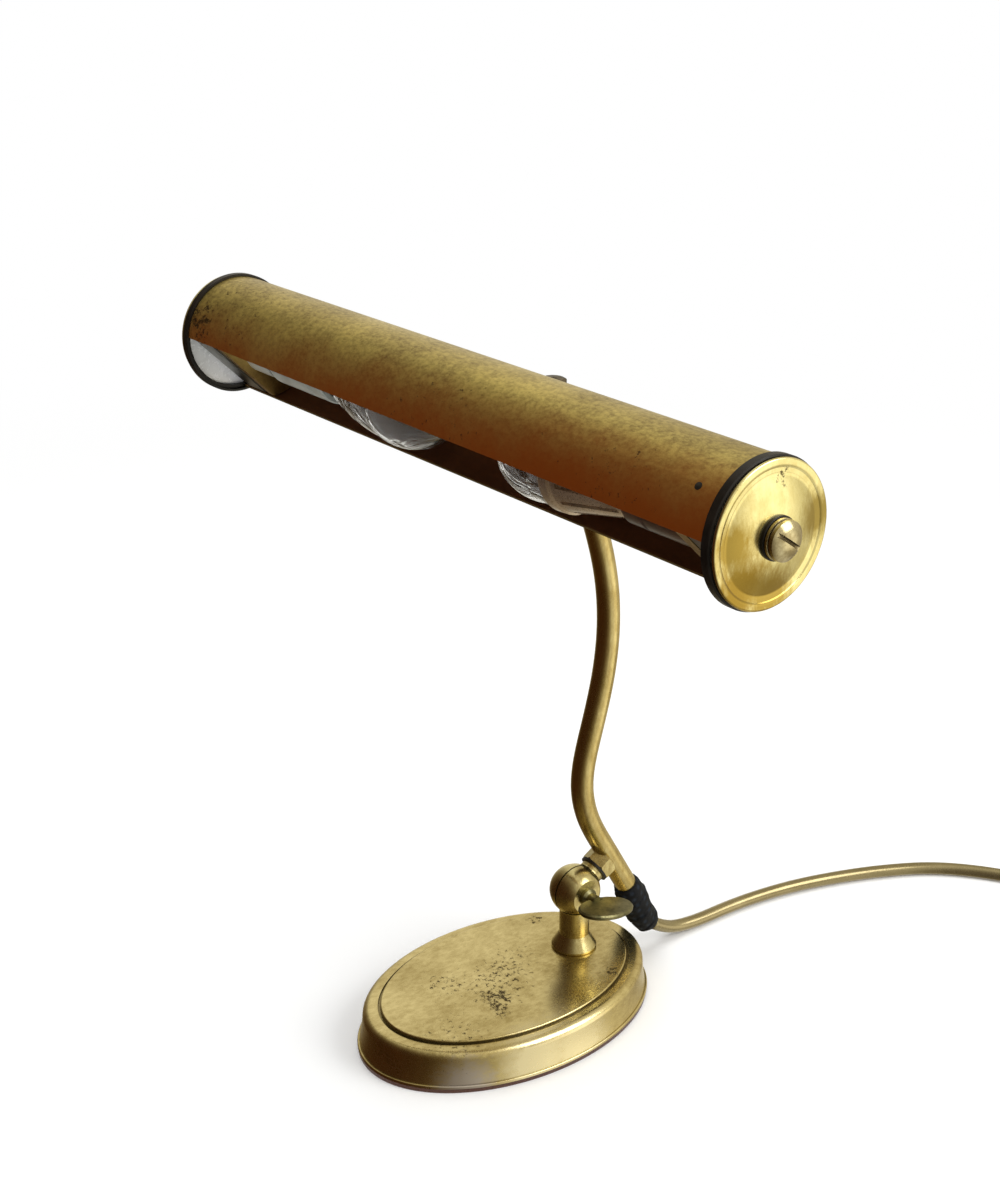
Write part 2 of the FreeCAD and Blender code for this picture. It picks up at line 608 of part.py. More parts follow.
def arm_ferrule():
    """Stepped ring that covers the joint of the arm and the ball head."""
    bore = ARM_RADIUS + THREAD_GAP
    start = ARM_HEAD - ARM_UP * (FERRULE_LENGTH - 0.6)
    profile = [(0, bore), (0, FERRULE_RADIUS - 0.8), (0.8, FERRULE_RADIUS), (FERRULE_LENGTH * 0.6, FERRULE_RADIUS),
               (FERRULE_LENGTH, FERRULE_RADIUS - 0.9), (FERRULE_LENGTH, bore)]
    ring = turned(profile, start, ARM_UP)
    return one_solid(ring.cut(Part.makeSphere(HEAD_RADIUS, HEAD_CENTRE)))


def switch_body():
    """Small rotary switch in the ball, above the nipple's bore."""
    start = HEAD_CENTRE + KNOB_UP * (SWITCH_TOP - SWITCH_LENGTH)
    body = rod(start, KNOB_UP, SWITCH_LENGTH, SWITCH_RADIUS)
    return one_solid(body.cut(rod(start, KNOB_UP, SWITCH_LENGTH, SPINDLE_RADIUS + RUNNING_GAP))
                     .cut(rod(HEAD_CENTRE, NIPPLE_AXIS, 2 * HEAD_RADIUS, NIPPLE_RADIUS + THREAD_GAP)))


def switch_knob():
    """Fluted knob on the switch spindle, with a small domed top."""
    start = HEAD_CENTRE + KNOB_UP * (HEAD_RADIUS - HEAD_FLAT + KNOB_GAP)
    crown = KNOB_RADIUS - 1.0
    profile = [(0, 0), (0, KNOB_RADIUS - 0.6), (0.6, KNOB_RADIUS), (KNOB_HEIGHT - 1.2, KNOB_RADIUS),
               (KNOB_HEIGHT - 0.6, crown), (KNOB_HEIGHT, 0)]
    knob = turned(profile, start, KNOB_UP)
    groove = rod(FreeCAD.Vector(0.9, KNOB_RADIUS + 0.35, 0), X, KNOB_HEIGHT - 2.4, 0.6)
    for i in range(KNOB_FLUTES):
        cutter = groove.copy()
        cutter.rotate(FreeCAD.Vector(), X, 360.0 * i / KNOB_FLUTES)
        cutter.Placement = FreeCAD.Placement(start, FreeCAD.Rotation(X, KNOB_UP)).multiply(cutter.Placement)
        knob = knob.cut(cutter)
    spindle = rod(start - KNOB_UP * SPINDLE_LENGTH, KNOB_UP, SPINDLE_LENGTH + 0.5, SPINDLE_RADIUS)
    return one_solid(knob.fuse(spindle))


def rail_reach():
    """Distance from the head's centre to the rail's inner face, along the nipple."""
    return (SHADE_AXIS - HEAD_CENTRE).Length - RAIL_INNER


def head_nipple():
    """Hollow threaded nipple from the ball head through the shade's slot to the rail."""
    start = HEAD_RADIUS - NIPPLE_INTO_HEAD
    length = rail_reach() + NIPPLE_NUT_HEIGHT + 1.0 - start
    place = HEAD_CENTRE + NIPPLE_AXIS * start
    return tube(place, NIPPLE_AXIS, length, NIPPLE_RADIUS, NIPPLE_RADIUS - NIPPLE_WALL)


def nipple_flange():
    """Round shoulder nut outside the shade's slot, with room for the shade to turn."""
    thick = NIPPLE_FLANGE_THICKNESS
    reach = (SHADE_AXIS - HEAD_CENTRE).Length - SHADE_RADIUS - BODY_GAP - thick
    bore = NIPPLE_RADIUS + THREAD_GAP
    profile = [(0, bore), (0, NIPPLE_FLANGE_RADIUS - 0.6), (0.6, NIPPLE_FLANGE_RADIUS),
               (thick, NIPPLE_FLANGE_RADIUS), (thick, bore)]
    ring = turned(profile, HEAD_CENTRE + NIPPLE_AXIS * reach, NIPPLE_AXIS)
    half = 2 * NIPPLE_FLANGE_RADIUS
    return one_solid(ring.cut(rod(SHADE_AXIS - X * half, X, 2 * half, SHADE_RADIUS + BODY_GAP)))


def nipple_nut():
    """Hexagon nut inside the shade, shaped to the rail's hollow face."""
    place = HEAD_CENTRE + NIPPLE_AXIS * rail_reach()
    nut = hexagon(NIPPLE_NUT_FLATS, NIPPLE_NUT_HEIGHT + 1.2, place - NIPPLE_AXIS * 1.2, NIPPLE_AXIS)
    bore = rod(place - NIPPLE_AXIS * 2, NIPPLE_AXIS, NIPPLE_NUT_HEIGHT + 4, NIPPLE_RADIUS + THREAD_GAP)
    half = 2 * NIPPLE_NUT_FLATS
    rail_hollow = rod(SHADE_AXIS - X * half, X, 2 * half, RAIL_INNER - THREAD_GAP)
    return one_solid(nut.cut(bore).common(rail_hollow))


# ---------------------------------------------------------------- shade
def sector(x_from, x_to, outer, inner, angle_from, angle_to):
    """Part of a tube round the shade's axis between two angles, measured from the back."""
    points = [(outer, angle_from), (outer, angle_to), (inner, angle_to), (inner, angle_from)]
    p = [shade_point(x_from, r, a) for r, a in points]
    middle = (angle_from + angle_to) / 2
    edges = [Part.Arc(p[0], shade_point(x_from, outer, middle), p[1]).toShape(),
             Part.LineSegment(p[1], p[2]).toShape(),
             Part.Arc(p[2], shade_point(x_from, inner, middle), p[3]).toShape(),
             Part.LineSegment(p[3], p[0]).toShape()]
    return Part.Face(Part.Wire(edges)).extrude(X * (x_to - x_from))


def shade_tube():
    """Slit brass tube. A slot round its back lets the nipple through while the shade turns."""
    body = sector(-SHADE_HALF_LENGTH, SHADE_HALF_LENGTH, SHADE_RADIUS, SHADE_BORE,
                  OPENING_BACK - 360.0, OPENING_FRONT)
    nipple_half = NIPPLE_RADIUS + BODY_GAP
    outer = SHADE_RADIUS + 2
    slot = None
    for turn in (-SHADE_TRAVEL, SHADE_TRAVEL):
        angle = math.radians(NIPPLE_ANGLE + turn)
        heading = FreeCAD.Vector(0, math.cos(angle), math.sin(angle))
        end = rod(SHADE_AXIS, heading, outer, nipple_half)
        slot = end if slot is None else slot.fuse(end)
    slot = slot.fuse(sector(-nipple_half, nipple_half, outer, SHADE_BORE - 2,
                            NIPPLE_ANGLE - SHADE_TRAVEL, NIPPLE_ANGLE + SHADE_TRAVEL))
    rivet_hole = rod(shade_point(RIVET_X, 0, 0), rivet_direction(), SHADE_RADIUS + 2, RIVET_RADIUS)
    return one_solid(body.cut(slot).cut(rivet_hole))


def rivet_direction():
    """Unit vector from the shade's axis to the rivet."""
    turn = math.radians(RIVET_ANGLE)
    return FreeCAD.Vector(0, math.cos(turn), math.sin(turn))


def shade_rivet():
    """Small blackened rivet near the right end, with a low head inside and outside."""
    inner = RIVET_RADIUS * 1.5
    seat = SHADE_BORE - 0.12
    profile = [(seat - 0.4, 0), (seat - 0.4, inner), (seat, inner),
               (seat, RIVET_RADIUS - 0.02), (SHADE_RADIUS + 0.1, RIVET_RADIUS - 0.02),
               (SHADE_RADIUS + 0.35, 0)]
    return turned(profile, shade_point(RIVET_X, 0, 0), rivet_direction())


# ---------------------------------------------------------------- shade ends
def end_ring(side):
    """Black ring that the shade's end turns in: an outer lap and an inner shoulder."""
    gap = RUNNING_GAP
    shoulder = SHADE_HALF_LENGTH + gap
    profile = [(RING_INNER_X, SHADE_RADIUS + gap), (RING_INNER_X, RING_RADIUS - 0.3),
               (RING_INNER_X + 0.3, RING_RADIUS), (RING_OUTER_X - 0.5, RING_RADIUS),
               (RING_OUTER_X, RING_RADIUS - 0.5), (RING_OUTER_X, RING_BORE), (shoulder, RING_BORE),
               (shoulder, SHADE_RADIUS + gap)]
    return turned(profile, SHADE_AXIS, X * side)


def cap_liner(side):
    """Thin white disc between the ring and the spun cap."""
    profile = [(RING_OUTER_X, CAP_SCREW_RADIUS + BODY_GAP), (RING_OUTER_X, CAP_RADIUS - 1.2),
               (CAP_X, CAP_RADIUS - 1.2), (CAP_X, CAP_SCREW_RADIUS + BODY_GAP)]
    return turned(profile, SHADE_AXIS, X * side)


def end_cap(side):
    """Spun brass cap, one wall thick: rounded rim, soft valley inside it and domed middle."""
    rim_in = CAP_RADIUS - CAP_RIM_WIDTH
    rim_top = CAP_X + CAP_RIM_RISE
    valley = CAP_X + CAP_WALL + 0.1
    bore = CAP_SCREW_RADIUS + BODY_GAP
    apex = valley + CAP_DOME
    bow_x = valley + CAP_DOME * 0.74
    bow_r = (rim_in - 2.6 + bore) / 2
    profile = [(CAP_X, CAP_RADIUS - 0.5), (CAP_X + 0.4, CAP_RADIUS), (rim_top - 0.7, CAP_RADIUS),
               (rim_top - 0.2, CAP_RADIUS - 0.2, rim_top, CAP_RADIUS - 0.8), (rim_top, rim_in + 1.4),
               (rim_top - 0.1, rim_in + 0.7, rim_top - 0.4, rim_in + 0.2), (valley + 0.05, rim_in - 1.2),
               (valley, rim_in - 1.7, valley + 0.15, rim_in - 2.6), (bow_x, bow_r, apex, bore),
               (apex - CAP_WALL, bore), (bow_x - CAP_WALL, bow_r, CAP_X, rim_in - 2.4)]
    return turned(profile, SHADE_AXIS, X * side)


def cap_stack():
    """Distances of the washer, collar and screw head from the middle of the shade."""
    apex = CAP_X + CAP_WALL + 0.1 + CAP_DOME
    washer = apex - 0.45
    collar = washer + CAP_WASHER_THICKNESS
    head = collar + CAP_COLLAR_THICKNESS
    return washer, collar, head


def cap_washer(side):
    """Washer under the collar, cut to sit on the domed cap."""
    washer, collar, head = cap_stack()
    bore = CAP_SCREW_RADIUS + THREAD_GAP
    ring = turned([(washer, bore), (washer, CAP_WASHER_RADIUS), (collar - 0.3, CAP_WASHER_RADIUS),
                   (collar, CAP_WASHER_RADIUS - 0.3), (collar, bore)], SHADE_AXIS, X * side)
    return one_solid(ring.cut(end_cap(side)))


def cap_collar(side):
    """Grooved spacer between the washer and the screw's head."""
    washer, collar, head = cap_stack()
    bore = CAP_SCREW_RADIUS + THREAD_GAP
    rim = CAP_COLLAR_RADIUS
    return turned([(collar, bore), (collar, rim - 0.3), (collar + 0.3, rim), (head - 1.1, rim),
                   (head - 0.9, rim - 0.5), (head - 0.5, rim - 0.5), (head - 0.4, rim - 0.1),
                   (head, rim - 0.3), (head, bore)], SHADE_AXIS, X * side)


def cap_screw(side):
    """Slotted round-head screw through the cap into the end plate."""
    washer, collar, head = cap_stack()
    tip = END_PLATE_X - 5.0
    rim = head + CAP_HEAD_RIM
    top = rim + CAP_HEAD_DOME
    bow = (rim + CAP_HEAD_DOME * 0.78, CAP_HEAD_RADIUS * 0.62, top, 0)
    profile = [(tip, 0), (tip, CAP_SCREW_RADIUS - 0.5), (tip + 0.5, CAP_SCREW_RADIUS), (head, CAP_SCREW_RADIUS),
               (head, CAP_HEAD_RADIUS), (rim, CAP_HEAD_RADIUS), bow]
    screw = turned(profile, SHADE_AXIS, X * side)
    slot = Part.makeBox(2 * CAP_SLOT_DEPTH, CAP_SLOT_WIDTH, 3 * CAP_HEAD_RADIUS,
                        FreeCAD.Vector(top - CAP_SLOT_DEPTH, -CAP_SLOT_WIDTH / 2, -1.5 * CAP_HEAD_RADIUS))
    slot.rotate(FreeCAD.Vector(), X, CAP_SLOT_TURN[side])
    slot = aim_keep(slot, SHADE_AXIS, X * side)
    return one_solid(screw.cut(slot))


def aim_keep(shape, place, direction):
    """Aim a shape that already has a placement of its own."""
    shape.Placement = FreeCAD.Placement(place, FreeCAD.Rotation(X, direction)).multiply(shape.Placement)
    return shape


# ---------------------------------------------------------------- chassis
def chassis_rail():
    """Curved strip along the inside of the shade's back that carries everything else."""
    end = END_PLATE_X + SHEET
    strip = sector(-end, end, RAIL_OUTER, RAIL_INNER, RAIL_FROM, RAIL_TO)
    hole = rod(HEAD_CENTRE, NIPPLE_AXIS, (SHADE_AXIS - HEAD_CENTRE).Length, NIPPLE_RADIUS + THREAD_GAP)
    return one_solid(strip.cut(hole))


def plate_with_flange(x_face, side, flange, bore):
    """Disc across the shade, trimmed flush with the opening and folded along that edge."""
    low = min(x_face, x_face - side * flange)
    high = max(x_face, x_face - side * flange)
    disc_low = x_face - (SHEET if side > 0 else 0)
    disc = rod(SHADE_AXIS + X * disc_low, X, SHEET, RAIL_OUTER)
    disc = disc.cut(opening_cutter(disc_low - 1, disc_low + SHEET + 1, CHORD_SETBACK))
    plate = disc.fuse(chord_strip(low, high, SHEET))
    notch = sector(low - 1, high + 1, RAIL_OUTER + 1, RAIL_INNER, RAIL_FROM, RAIL_TO)
    hole = rod(SHADE_AXIS + X * (low - 1), X, high - low + 2, bore)
    return one_solid(plate.cut(notch).cut(hole))


def end_plate(side):
    """Plate behind an end ring, with a threaded boss; its flange on the right stops short of the bulkhead."""
    face = side * (END_PLATE_X + SHEET)
    flange = END_FLANGE if side < 0 else BULKHEAD_RIGHT_GAP + SHEET - FLANGE_GAP
    plate = plate_with_flange(face, side, flange, CAP_SCREW_RADIUS + THREAD_GAP)
    inner = SHADE_AXIS + X * side * (END_PLATE_X - END_BOSS_LENGTH)
    boss = tube(inner, X * side, END_BOSS_LENGTH, CAP_SCREW_RADIUS + END_BOSS_WALL, CAP_SCREW_RADIUS + THREAD_GAP)
    return one_solid(plate.fuse(boss))


def bulkhead_left():
    """Brass plate that carries the left lampholder, with its lip folded towards the end."""
    return plate_with_flange(BULKHEAD_LEFT_X, 1, BULKHEAD_LIP, HOLDER_SCREW_RADIUS + THREAD_GAP)


def bulkhead_right():
    """Brass plate that carries the right lampholder."""
    return plate_with_flange(BULKHEAD_RIGHT_X, -1, -BULKHEAD_LIP, HOLDER_SCREW_RADIUS + THREAD_GAP)


# ---------------------------------------------------------------- lampholders and bulbs
def lampholder(neck_x, side):
    """E14 holder: plain barrel open to the bulb, with a ribbed skirt and a closed back."""
    r = HOLDER_RADIUS
    mouth = r - HOLDER_WALL - 0.8
    bore = BULB_CAP_RADIUS + 0.8
    groove = HOLDER_GROOVE_FROM
    slope = HOLDER_GROOVE_DEPTH * 1.2
    floor = r - HOLDER_GROOVE_DEPTH
    back = HOLDER_LENGTH - HOLDER_BACK
    profile = [(0, mouth), (0, r - 0.6), (0.6, r), (groove, r), (groove + slope, floor),
               (groove + slope + 1.0, floor), (groove + 2 * slope + 1.0, r),
               (HOLDER_LENGTH - 4.0, r), (HOLDER_LENGTH, r - 2.5), (HOLDER_LENGTH, HOLDER_SCREW_RADIUS),
               (back, HOLDER_SCREW_RADIUS), (back, bore), (HOLDER_THROAT, bore), (HOLDER_THROAT - 2.0, mouth)]
    holder = turned(profile, SHADE_AXIS + X * neck_x, X * side)
    return one_solid(holder.cut(lead_entry(side)))


def holder_screw(side, standoff):
    """Screw from a lampholder's back through its stand-off, if it has one, and its bulkhead."""
    plate_x = BULKHEAD_LEFT_X if side < 0 else BULKHEAD_RIGHT_X
    start = SHADE_AXIS + X * (plate_x - side * (standoff + HOLDER_BACK))
    return rod(start, X * side, HOLDER_BACK + standoff + HOLDER_SCREW_END, HOLDER_SCREW_RADIUS - THREAD_GAP)


def holder_base_left():
    """Stand-off between the left lampholder and its bulkhead, on its screw."""
    start = SHADE_AXIS + X * (BULKHEAD_LEFT_X + STANDOFF_LEFT)
    spacer = rod(start, -X, STANDOFF_LEFT, STANDOFF_RADIUS)
    return one_solid(spacer.cut(lead_entry(-1)).fuse(holder_screw(-1, STANDOFF_LEFT)))


def lead_entry(side):
    """Hole for the lead in the piece that it enters."""
    before, point = lead_points(side)[-2:]
    return rod(point, (before - point).normalize(), STANDOFF_RADIUS, LEAD_RADIUS + THREAD_GAP)


def bulb_cap(neck_x, side):
    """Threaded E14 cap with its contact, inside the holder."""
    r = BULB_CAP_RADIUS
    profile = [(-1.0, 0), (-1.0, r - 0.4), (3.0, r), (BULB_CAP_LENGTH - 5.0, r),
               (BULB_CAP_LENGTH - 2.0, 3.2), (BULB_CAP_LENGTH, 2.4), (BULB_CAP_LENGTH, 0)]
    return turned(profile, SHADE_AXIS + X * neck_x, X * side)


def bulb_left_glass():
    """Clear bulb: a throat on the cap, conical neck, full waist and a rounded end, one wall thick."""
    wall = GLASS_WALL
    throat = BULB_CAP_RADIUS - 0.4
    shoulder = 4.0
    waist = BULB_WAIST
    neck = BULB_NECK_RADIUS
    r = BULB_RADIUS
    tip = BULB_LENGTH
    side = waist * 0.52
    crown = waist + (tip - waist) * 0.72
    profile = [(1.0, throat - wall), (1.0, throat), (shoulder, neck), (side, (neck + r) * 0.545, waist, r),
               (crown, r * 0.735, tip, TIP_FLAT), (tip, 0), (tip - wall, 0), (tip - wall, TIP_FLAT),
               (crown - wall * 0.7, (r - wall) * 0.735, waist, r - wall),
               (side, (neck + r) * 0.545 - wall, shoulder + wall, neck - wall)]
    return turned(profile, SHADE_AXIS + X * BULB_LEFT_NECK_X, X)


def bulb_left_stem():
    """Glass stem and filament support inside the clear bulb."""
    foot = BULB_CAP_RADIUS - 0.4 - GLASS_WALL - THREAD_GAP
    press = STEM_PRESS_LENGTH
    tip = STEM_POST_LENGTH
    profile = [(1.0, 0), (1.0, foot), (3.0, foot), (7.0, 3.2), (press, 2.6), (press + 2.0, 1.0),
               (tip - 2.5, 0.7), (tip - 1.5, 1.6), (tip, 0)]
    return turned(profile, SHADE_AXIS + X * BULB_LEFT_NECK_X, X)


def bulb_right_body():
    """Ribbed heat sink of the right bulb: a cone from the neck to the collar of the dome."""
    length = SINK_LENGTH
    profile = [(1.0, 0), (1.0, BULB_NECK_RADIUS), (2.0, BULB_NECK_RADIUS + 0.5), (length - 6.0, BULB_RADIUS - 1.2),
               (length - 5.0, BULB_RADIUS - 0.2), (length - 1.0, BULB_RADIUS), (length, BULB_RADIUS - 0.6),
               (length, 0)]
    place = SHADE_AXIS + X * BULB_RIGHT_NECK_X
    body = turned(profile, place, -X)
    slope = (BULB_RADIUS - BULB_NECK_RADIUS - 1.7) / (length - 8.0)
    for i in range(SINK_RIBS):
        groove = Part.makeBox(length - 11.0, 2.0, 3.0, FreeCAD.Vector(4.0, -1.0, BULB_NECK_RADIUS - 0.7))
        groove.rotate(FreeCAD.Vector(4.0, 0, BULB_NECK_RADIUS), Y, -math.degrees(math.atan(slope)))
        groove.rotate(FreeCAD.Vector(), X, 360.0 * i / SINK_RIBS)
        body = body.cut(aim_keep(groove, place, -X))
    return one_solid(body)


def bulb_right_dome():
    """Clear dome on the heat sink, one wall thick."""
    wall = GLASS_WALL
    start = SINK_LENGTH
    r = BULB_RADIUS - DOME_SETBACK
    tip = BULB_LENGTH
    straight = start + 8.0
    crown = start + (tip - start) * 0.78
    profile = [(start, r - wall), (start, r), (straight, r), (crown, r * 0.72, tip, TIP_FLAT), (tip, 0),
               (tip - wall, 0), (tip - wall, TIP_FLAT), (crown - wall * 0.7, (r - wall) * 0.72, straight, r - wall)]
    return turned(profile, SHADE_AXIS + X * BULB_RIGHT_NECK_X, -X)


def lead_points(side):
    """Route of the lead from the nipple to its holder, along the rail's inner face."""
    level = RAIL_INNER - LEAD_RADIUS - THREAD_GAP
    if side < 0:
        end_x = BULB_LEFT_NECK_X - HOLDER_LENGTH - LEAD_ENTRY_LEFT
        end_level = STANDOFF_RADIUS - 1.0
    else:
        end_x = BULB_RIGHT_NECK_X + HOLDER_LENGTH + LEAD_ENTRY_RIGHT
        end_level = HOLDER_RADIUS - 1.0
    stations = ((side * LEAD_START_X, level), (end_x - side * LEAD_DROP, level), (end_x, end_level))
    return [shade_point(x, radius, LEAD_ANGLE) for x, radius in stations]


def tangent_path(points, label):
    """Straight runs joined by tangent arcs, each as large as its two runs allow."""
    edges = []
    radii = []
    last = points[0]
    for before, corner, after in zip(points, points[1:], points[2:]):
        into = (corner - before).normalize()
        out = (after - corner).normalize()
        turn = into.getAngle(out)
        set_back = 0.45 * min((corner - before).Length, (after - corner).Length)
        radius = set_back / math.tan(turn / 2)
        start = corner - into * set_back
        end = corner + out * set_back
        inward = (out - into).normalize()
        middle = corner + inward * (radius / math.cos(turn / 2) - radius)
        edges.append(Part.LineSegment(last, start).toShape())
        edges.append(Part.Arc(start, middle, end).toShape())
        radii.append(radius)
        last = end
    edges.append(Part.LineSegment(last, points[-1]).toShape())
    print(label, "radii", [round(radius, 1) for radius in radii])
    return Part.Wire(edges)


def lead(side):
    """Insulated wire from the nipple to a lampholder."""
    return swept(tangent_path(lead_points(side), "lead " + side_name(side)), LEAD_RADIUS)


# ---------------------------------------------------------------- cord, coil and plug
def coil_sizes():
    """Inner and outer radius and height of the coiled cord, and the radius of its outermost turn."""
    width = COIL_TURNS_WIDE * 2 * CORD_RADIUS
    outer = COIL_MID_RADIUS + width / 2
    height = 2 * CORD_RADIUS + (COIL_LAYERS - 1) * 2 * CORD_RADIUS * 0.87
    return COIL_MID_RADIUS - width / 2, outer, height, outer - CORD_RADIUS


def coil_centre():
    """Middle of the coil, set so that the cord runs into its outermost turn along the tangent."""
    last = FreeCAD.Vector(*CORD_ROUTE[-1])
    heading = (last - FreeCAD.Vector(*CORD_ROUTE[-2])).normalize()
    centre = last + FreeCAD.Vector(-heading.y, heading.x, 0) * coil_sizes()[3]
    return FreeCAD.Vector(centre.x, centre.y, 0)


def cord_solid(points, label):
    """Round cord along a route."""
    path = tangent_path(points, label)
    solid = swept(path, CORD_RADIUS)
    ideal = math.pi * CORD_RADIUS ** 2 * path.Length
    print("%s length %.1f, volume ratio %.5f" % (label, path.Length, solid.Volume / ideal))
    return solid


def run_points():
    """The cord's route on the table, as vectors."""
    return [FreeCAD.Vector(*point) for point in CORD_ROUTE]


def tail_points():
    """Points of the last stretch, from the coil to the plug."""
    return [coil_centre() + FreeCAD.Vector(*step) for step in TAIL_STEPS]


def coil_notch(place, heading, along_from, along_to, z_low, z_high):
    """Block that clears the coil's outer turns where a cord end lies against them."""
    side = CORD_RADIUS + CORD_SIDE_ROOM
    block = Part.makeBox(along_to - along_from, 4 * side, z_high - z_low,
                         FreeCAD.Vector(along_from, -3 * side, z_low))
    block.rotate(FreeCAD.Vector(), Z, math.degrees(math.atan2(heading.y, heading.x)))
    block.translate(FreeCAD.Vector(place.x, place.y, 0))
    return block


def cord_coil():
    """Outer shape of the stored length, wound flat on the table, notched for the two cord ends."""
    inner, outer, height, outermost = coil_sizes()
    r = CORD_RADIUS * 0.8
    corner = r * (1 - math.sqrt(0.5))
    profile = [(0, inner + r), (0, outer - r), (corner, outer - corner, r, outer), (height - r, outer),
               (height - corner, outer - corner, height, outer - r), (height, inner + r),
               (height - corner, inner + corner, height - r, inner), (r, inner),
               (corner, inner + corner, 0, inner + r)]
    coil = turned(profile, coil_centre(), Z)
    run = run_points()
    tail = tail_points()
    side = CORD_RADIUS + THREAD_GAP
    reach = COIL_MID_RADIUS
    coil = coil.cut(coil_notch(run[-1], run[-1] - run[-2], -reach, 0, -height, run[-1].z + side))
    lowest = min(point.z for point in tail) - side
    coil = coil.cut(coil_notch(tail[0], tail[1] - tail[0], 0, reach, lowest, 2 * height))
    return one_solid(coil)


def plug_place():
    """Placement of the plug: its back end on the cord's end, its length along the cord."""
    points = tail_points()
    heading = points[-1] - points[-2]
    turn = math.degrees(math.atan2(heading.y, heading.x))
    place = FreeCAD.Vector(points[-1].x, points[-1].y, 0)
    return FreeCAD.Placement(place, FreeCAD.Rotation(Z, turn))


def rounded_section(x, half_width, half_height, corner):
    """Rounded rectangle across the plug, as a closed wire."""
    w = half_width
    h = half_height
    inner = corner * (1 - math.sqrt(0.5))
    edges = []
    for sy, sz in ((1, 1), (-1, 1), (-1, -1), (1, -1)):
        side = FreeCAD.Vector(x, sy * w, sz * (h - corner))
        middle = FreeCAD.Vector(x, sy * (w - inner), sz * (h - inner))
        flat = FreeCAD.Vector(x, sy * (w - corner), sz * h)
        ends = (side, flat) if sy * sz > 0 else (flat, side)
        edges.append(Part.Arc(ends[0], middle, ends[1]).toShape())
    corners = [(edge.firstVertex().Point, edge.lastVertex().Point) for edge in edges]
    for i in range(4):
        edges.append(Part.LineSegment(corners[i][1], corners[(i + 1) % 4][0]).toShape())
    return Part.Wire(Part.__sortEdges__(edges))


def plug_body():
    """Flat moulded plug: a narrow neck that widens into the grip and a square face."""
    half = PLUG_WIDTH / 2
    tall = PLUG_HEIGHT / 2
    neck = PLUG_NECK / 2
    stations = ((0, neck, neck), (PLUG_GRIP_FROM, neck + 0.5, neck + 0.4),
                (PLUG_GRIP_FROM + 7, half - 4.4, tall - 0.9), (PLUG_LENGTH - 15, half - 2.4, tall - 0.3),
                (PLUG_LENGTH - 6, half - 1.6, tall - 0.3), (PLUG_LENGTH - 4, half, tall), (PLUG_LENGTH, half, tall))
    sections = [rounded_section(x, w, h, PLUG_ROUND) for x, w, h in stations]
    block = Part.makeLoft(sections, True, True)
    block.translate(Z * tall)
    block.Placement = plug_place().multiply(block.Placement)
    return block


def plug_pins():
    """Two round pins on the plug's face."""
    profile = [(0, 0), (0, PIN_RADIUS), (PIN_LENGTH - 1.2, PIN_RADIUS), (PIN_LENGTH, PIN_RADIUS - 1.0),
               (PIN_LENGTH, 0)]
    pins = []
    for side in (-1, 1):
        pin = turned(profile, FreeCAD.Vector(PLUG_LENGTH, side * PIN_PITCH / 2, PLUG_HEIGHT / 2), X)
        pin.Placement = plug_place().multiply(pin.Placement)
        pins.append(pin)
    return Part.makeCompound(pins)


# ---------------------------------------------------------------- assembly
def build():
    """Every piece by its node name."""
    nodes = {
        "base_felt": base_felt(),
        "base_weight": base_weight(),
        "base_cover": base_cover(),
        "post_stud": post_stud(),
        "post_washer": post_washer(),
        "post_nut": post_nut(),
        "post_collar": post_collar(),
        "knuckle_lower": knuckle_lower(),
        "knuckle_washer": knuckle_washer(),
        "knuckle_upper": knuckle_upper(),
        "wing_screw": wing_screw(),
        "arm_tube": arm_tube(),
        "arm_bush": arm_bush(),
        "arm_ferrule": arm_ferrule(),
        "tape_wrap": tape_wrap(),
        "head_ball": head_ball(),
        "switch_body": switch_body(),
        "switch_knob": switch_knob(),
        "head_nipple": head_nipple(),
        "nipple_flange": nipple_flange(),
        "nipple_nut": nipple_nut(),
        "chassis_rail": chassis_rail(),
        "bulkhead_left": bulkhead_left(),
        "bulkhead_right": bulkhead_right(),
        "bulb_left_glass": bulb_left_glass(),
        "bulb_left_stem": bulb_left_stem(),
        "bulb_left_cap": bulb_cap(BULB_LEFT_NECK_X, -1),
        "bulb_right_dome": bulb_right_dome(),
        "bulb_right_body": bulb_right_body(),
        "bulb_right_cap": bulb_cap(BULB_RIGHT_NECK_X, 1),
        "lampholder_left": lampholder(BULB_LEFT_NECK_X, -1),
        "lampholder_right": lampholder(BULB_RIGHT_NECK_X, 1),
        "holder_base_left": holder_base_left(),
        "holder_base_right": holder_screw(1, 0),
        "shade_tube": shade_tube(),
        "shade_rivet": shade_rivet(),
        "cord_run": cord_solid(run_points(), "cord run"),
        "cord_tail": cord_solid(tail_points(), "cord tail"),
        "cord_coil": cord_coil(),
        "plug_body": plug_body(),
        "plug_pins": plug_pins(),
    }
    nodes["coupling_washer"], nodes["coupling_nut"] = coupling_parts()
    for side in (-1, 1):
        name = side_name(side)
        nodes["lead_" + name] = lead(side)
        nodes["end_plate_" + name] = end_plate(side)
        nodes["end_ring_" + name] = end_ring(side)
        nodes["cap_liner_" + name] = cap_liner(side)
        nodes["end_cap_" + name] = end_cap(side)
        nodes["cap_washer_" + name] = cap_washer(side)
        nodes["cap_collar_" + name] = cap_collar(side)
        nodes["cap_screw_" + name] = cap_screw(side)
    return nodes


def main():
    """Build every node, check that it is valid and write its STEP file."""
    os.makedirs("parts", exist_ok=True)
    for name, shape in build().items():
        if not shape.isValid():
            print("not valid:", name)
        if len(shape.Solids) != 1 and name != "plug_pins":
            print("solids:", name, len(shape.Solids))
        shape.exportStep(os.path.join("parts", name + ".step"))


main()
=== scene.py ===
"""Looks of a brass piano lamp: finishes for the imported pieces, and the cord and tape, which are made here.

Metres throughout, in the model's own frame: +X runs along the shade, +Y to the back, +Z up.
"""

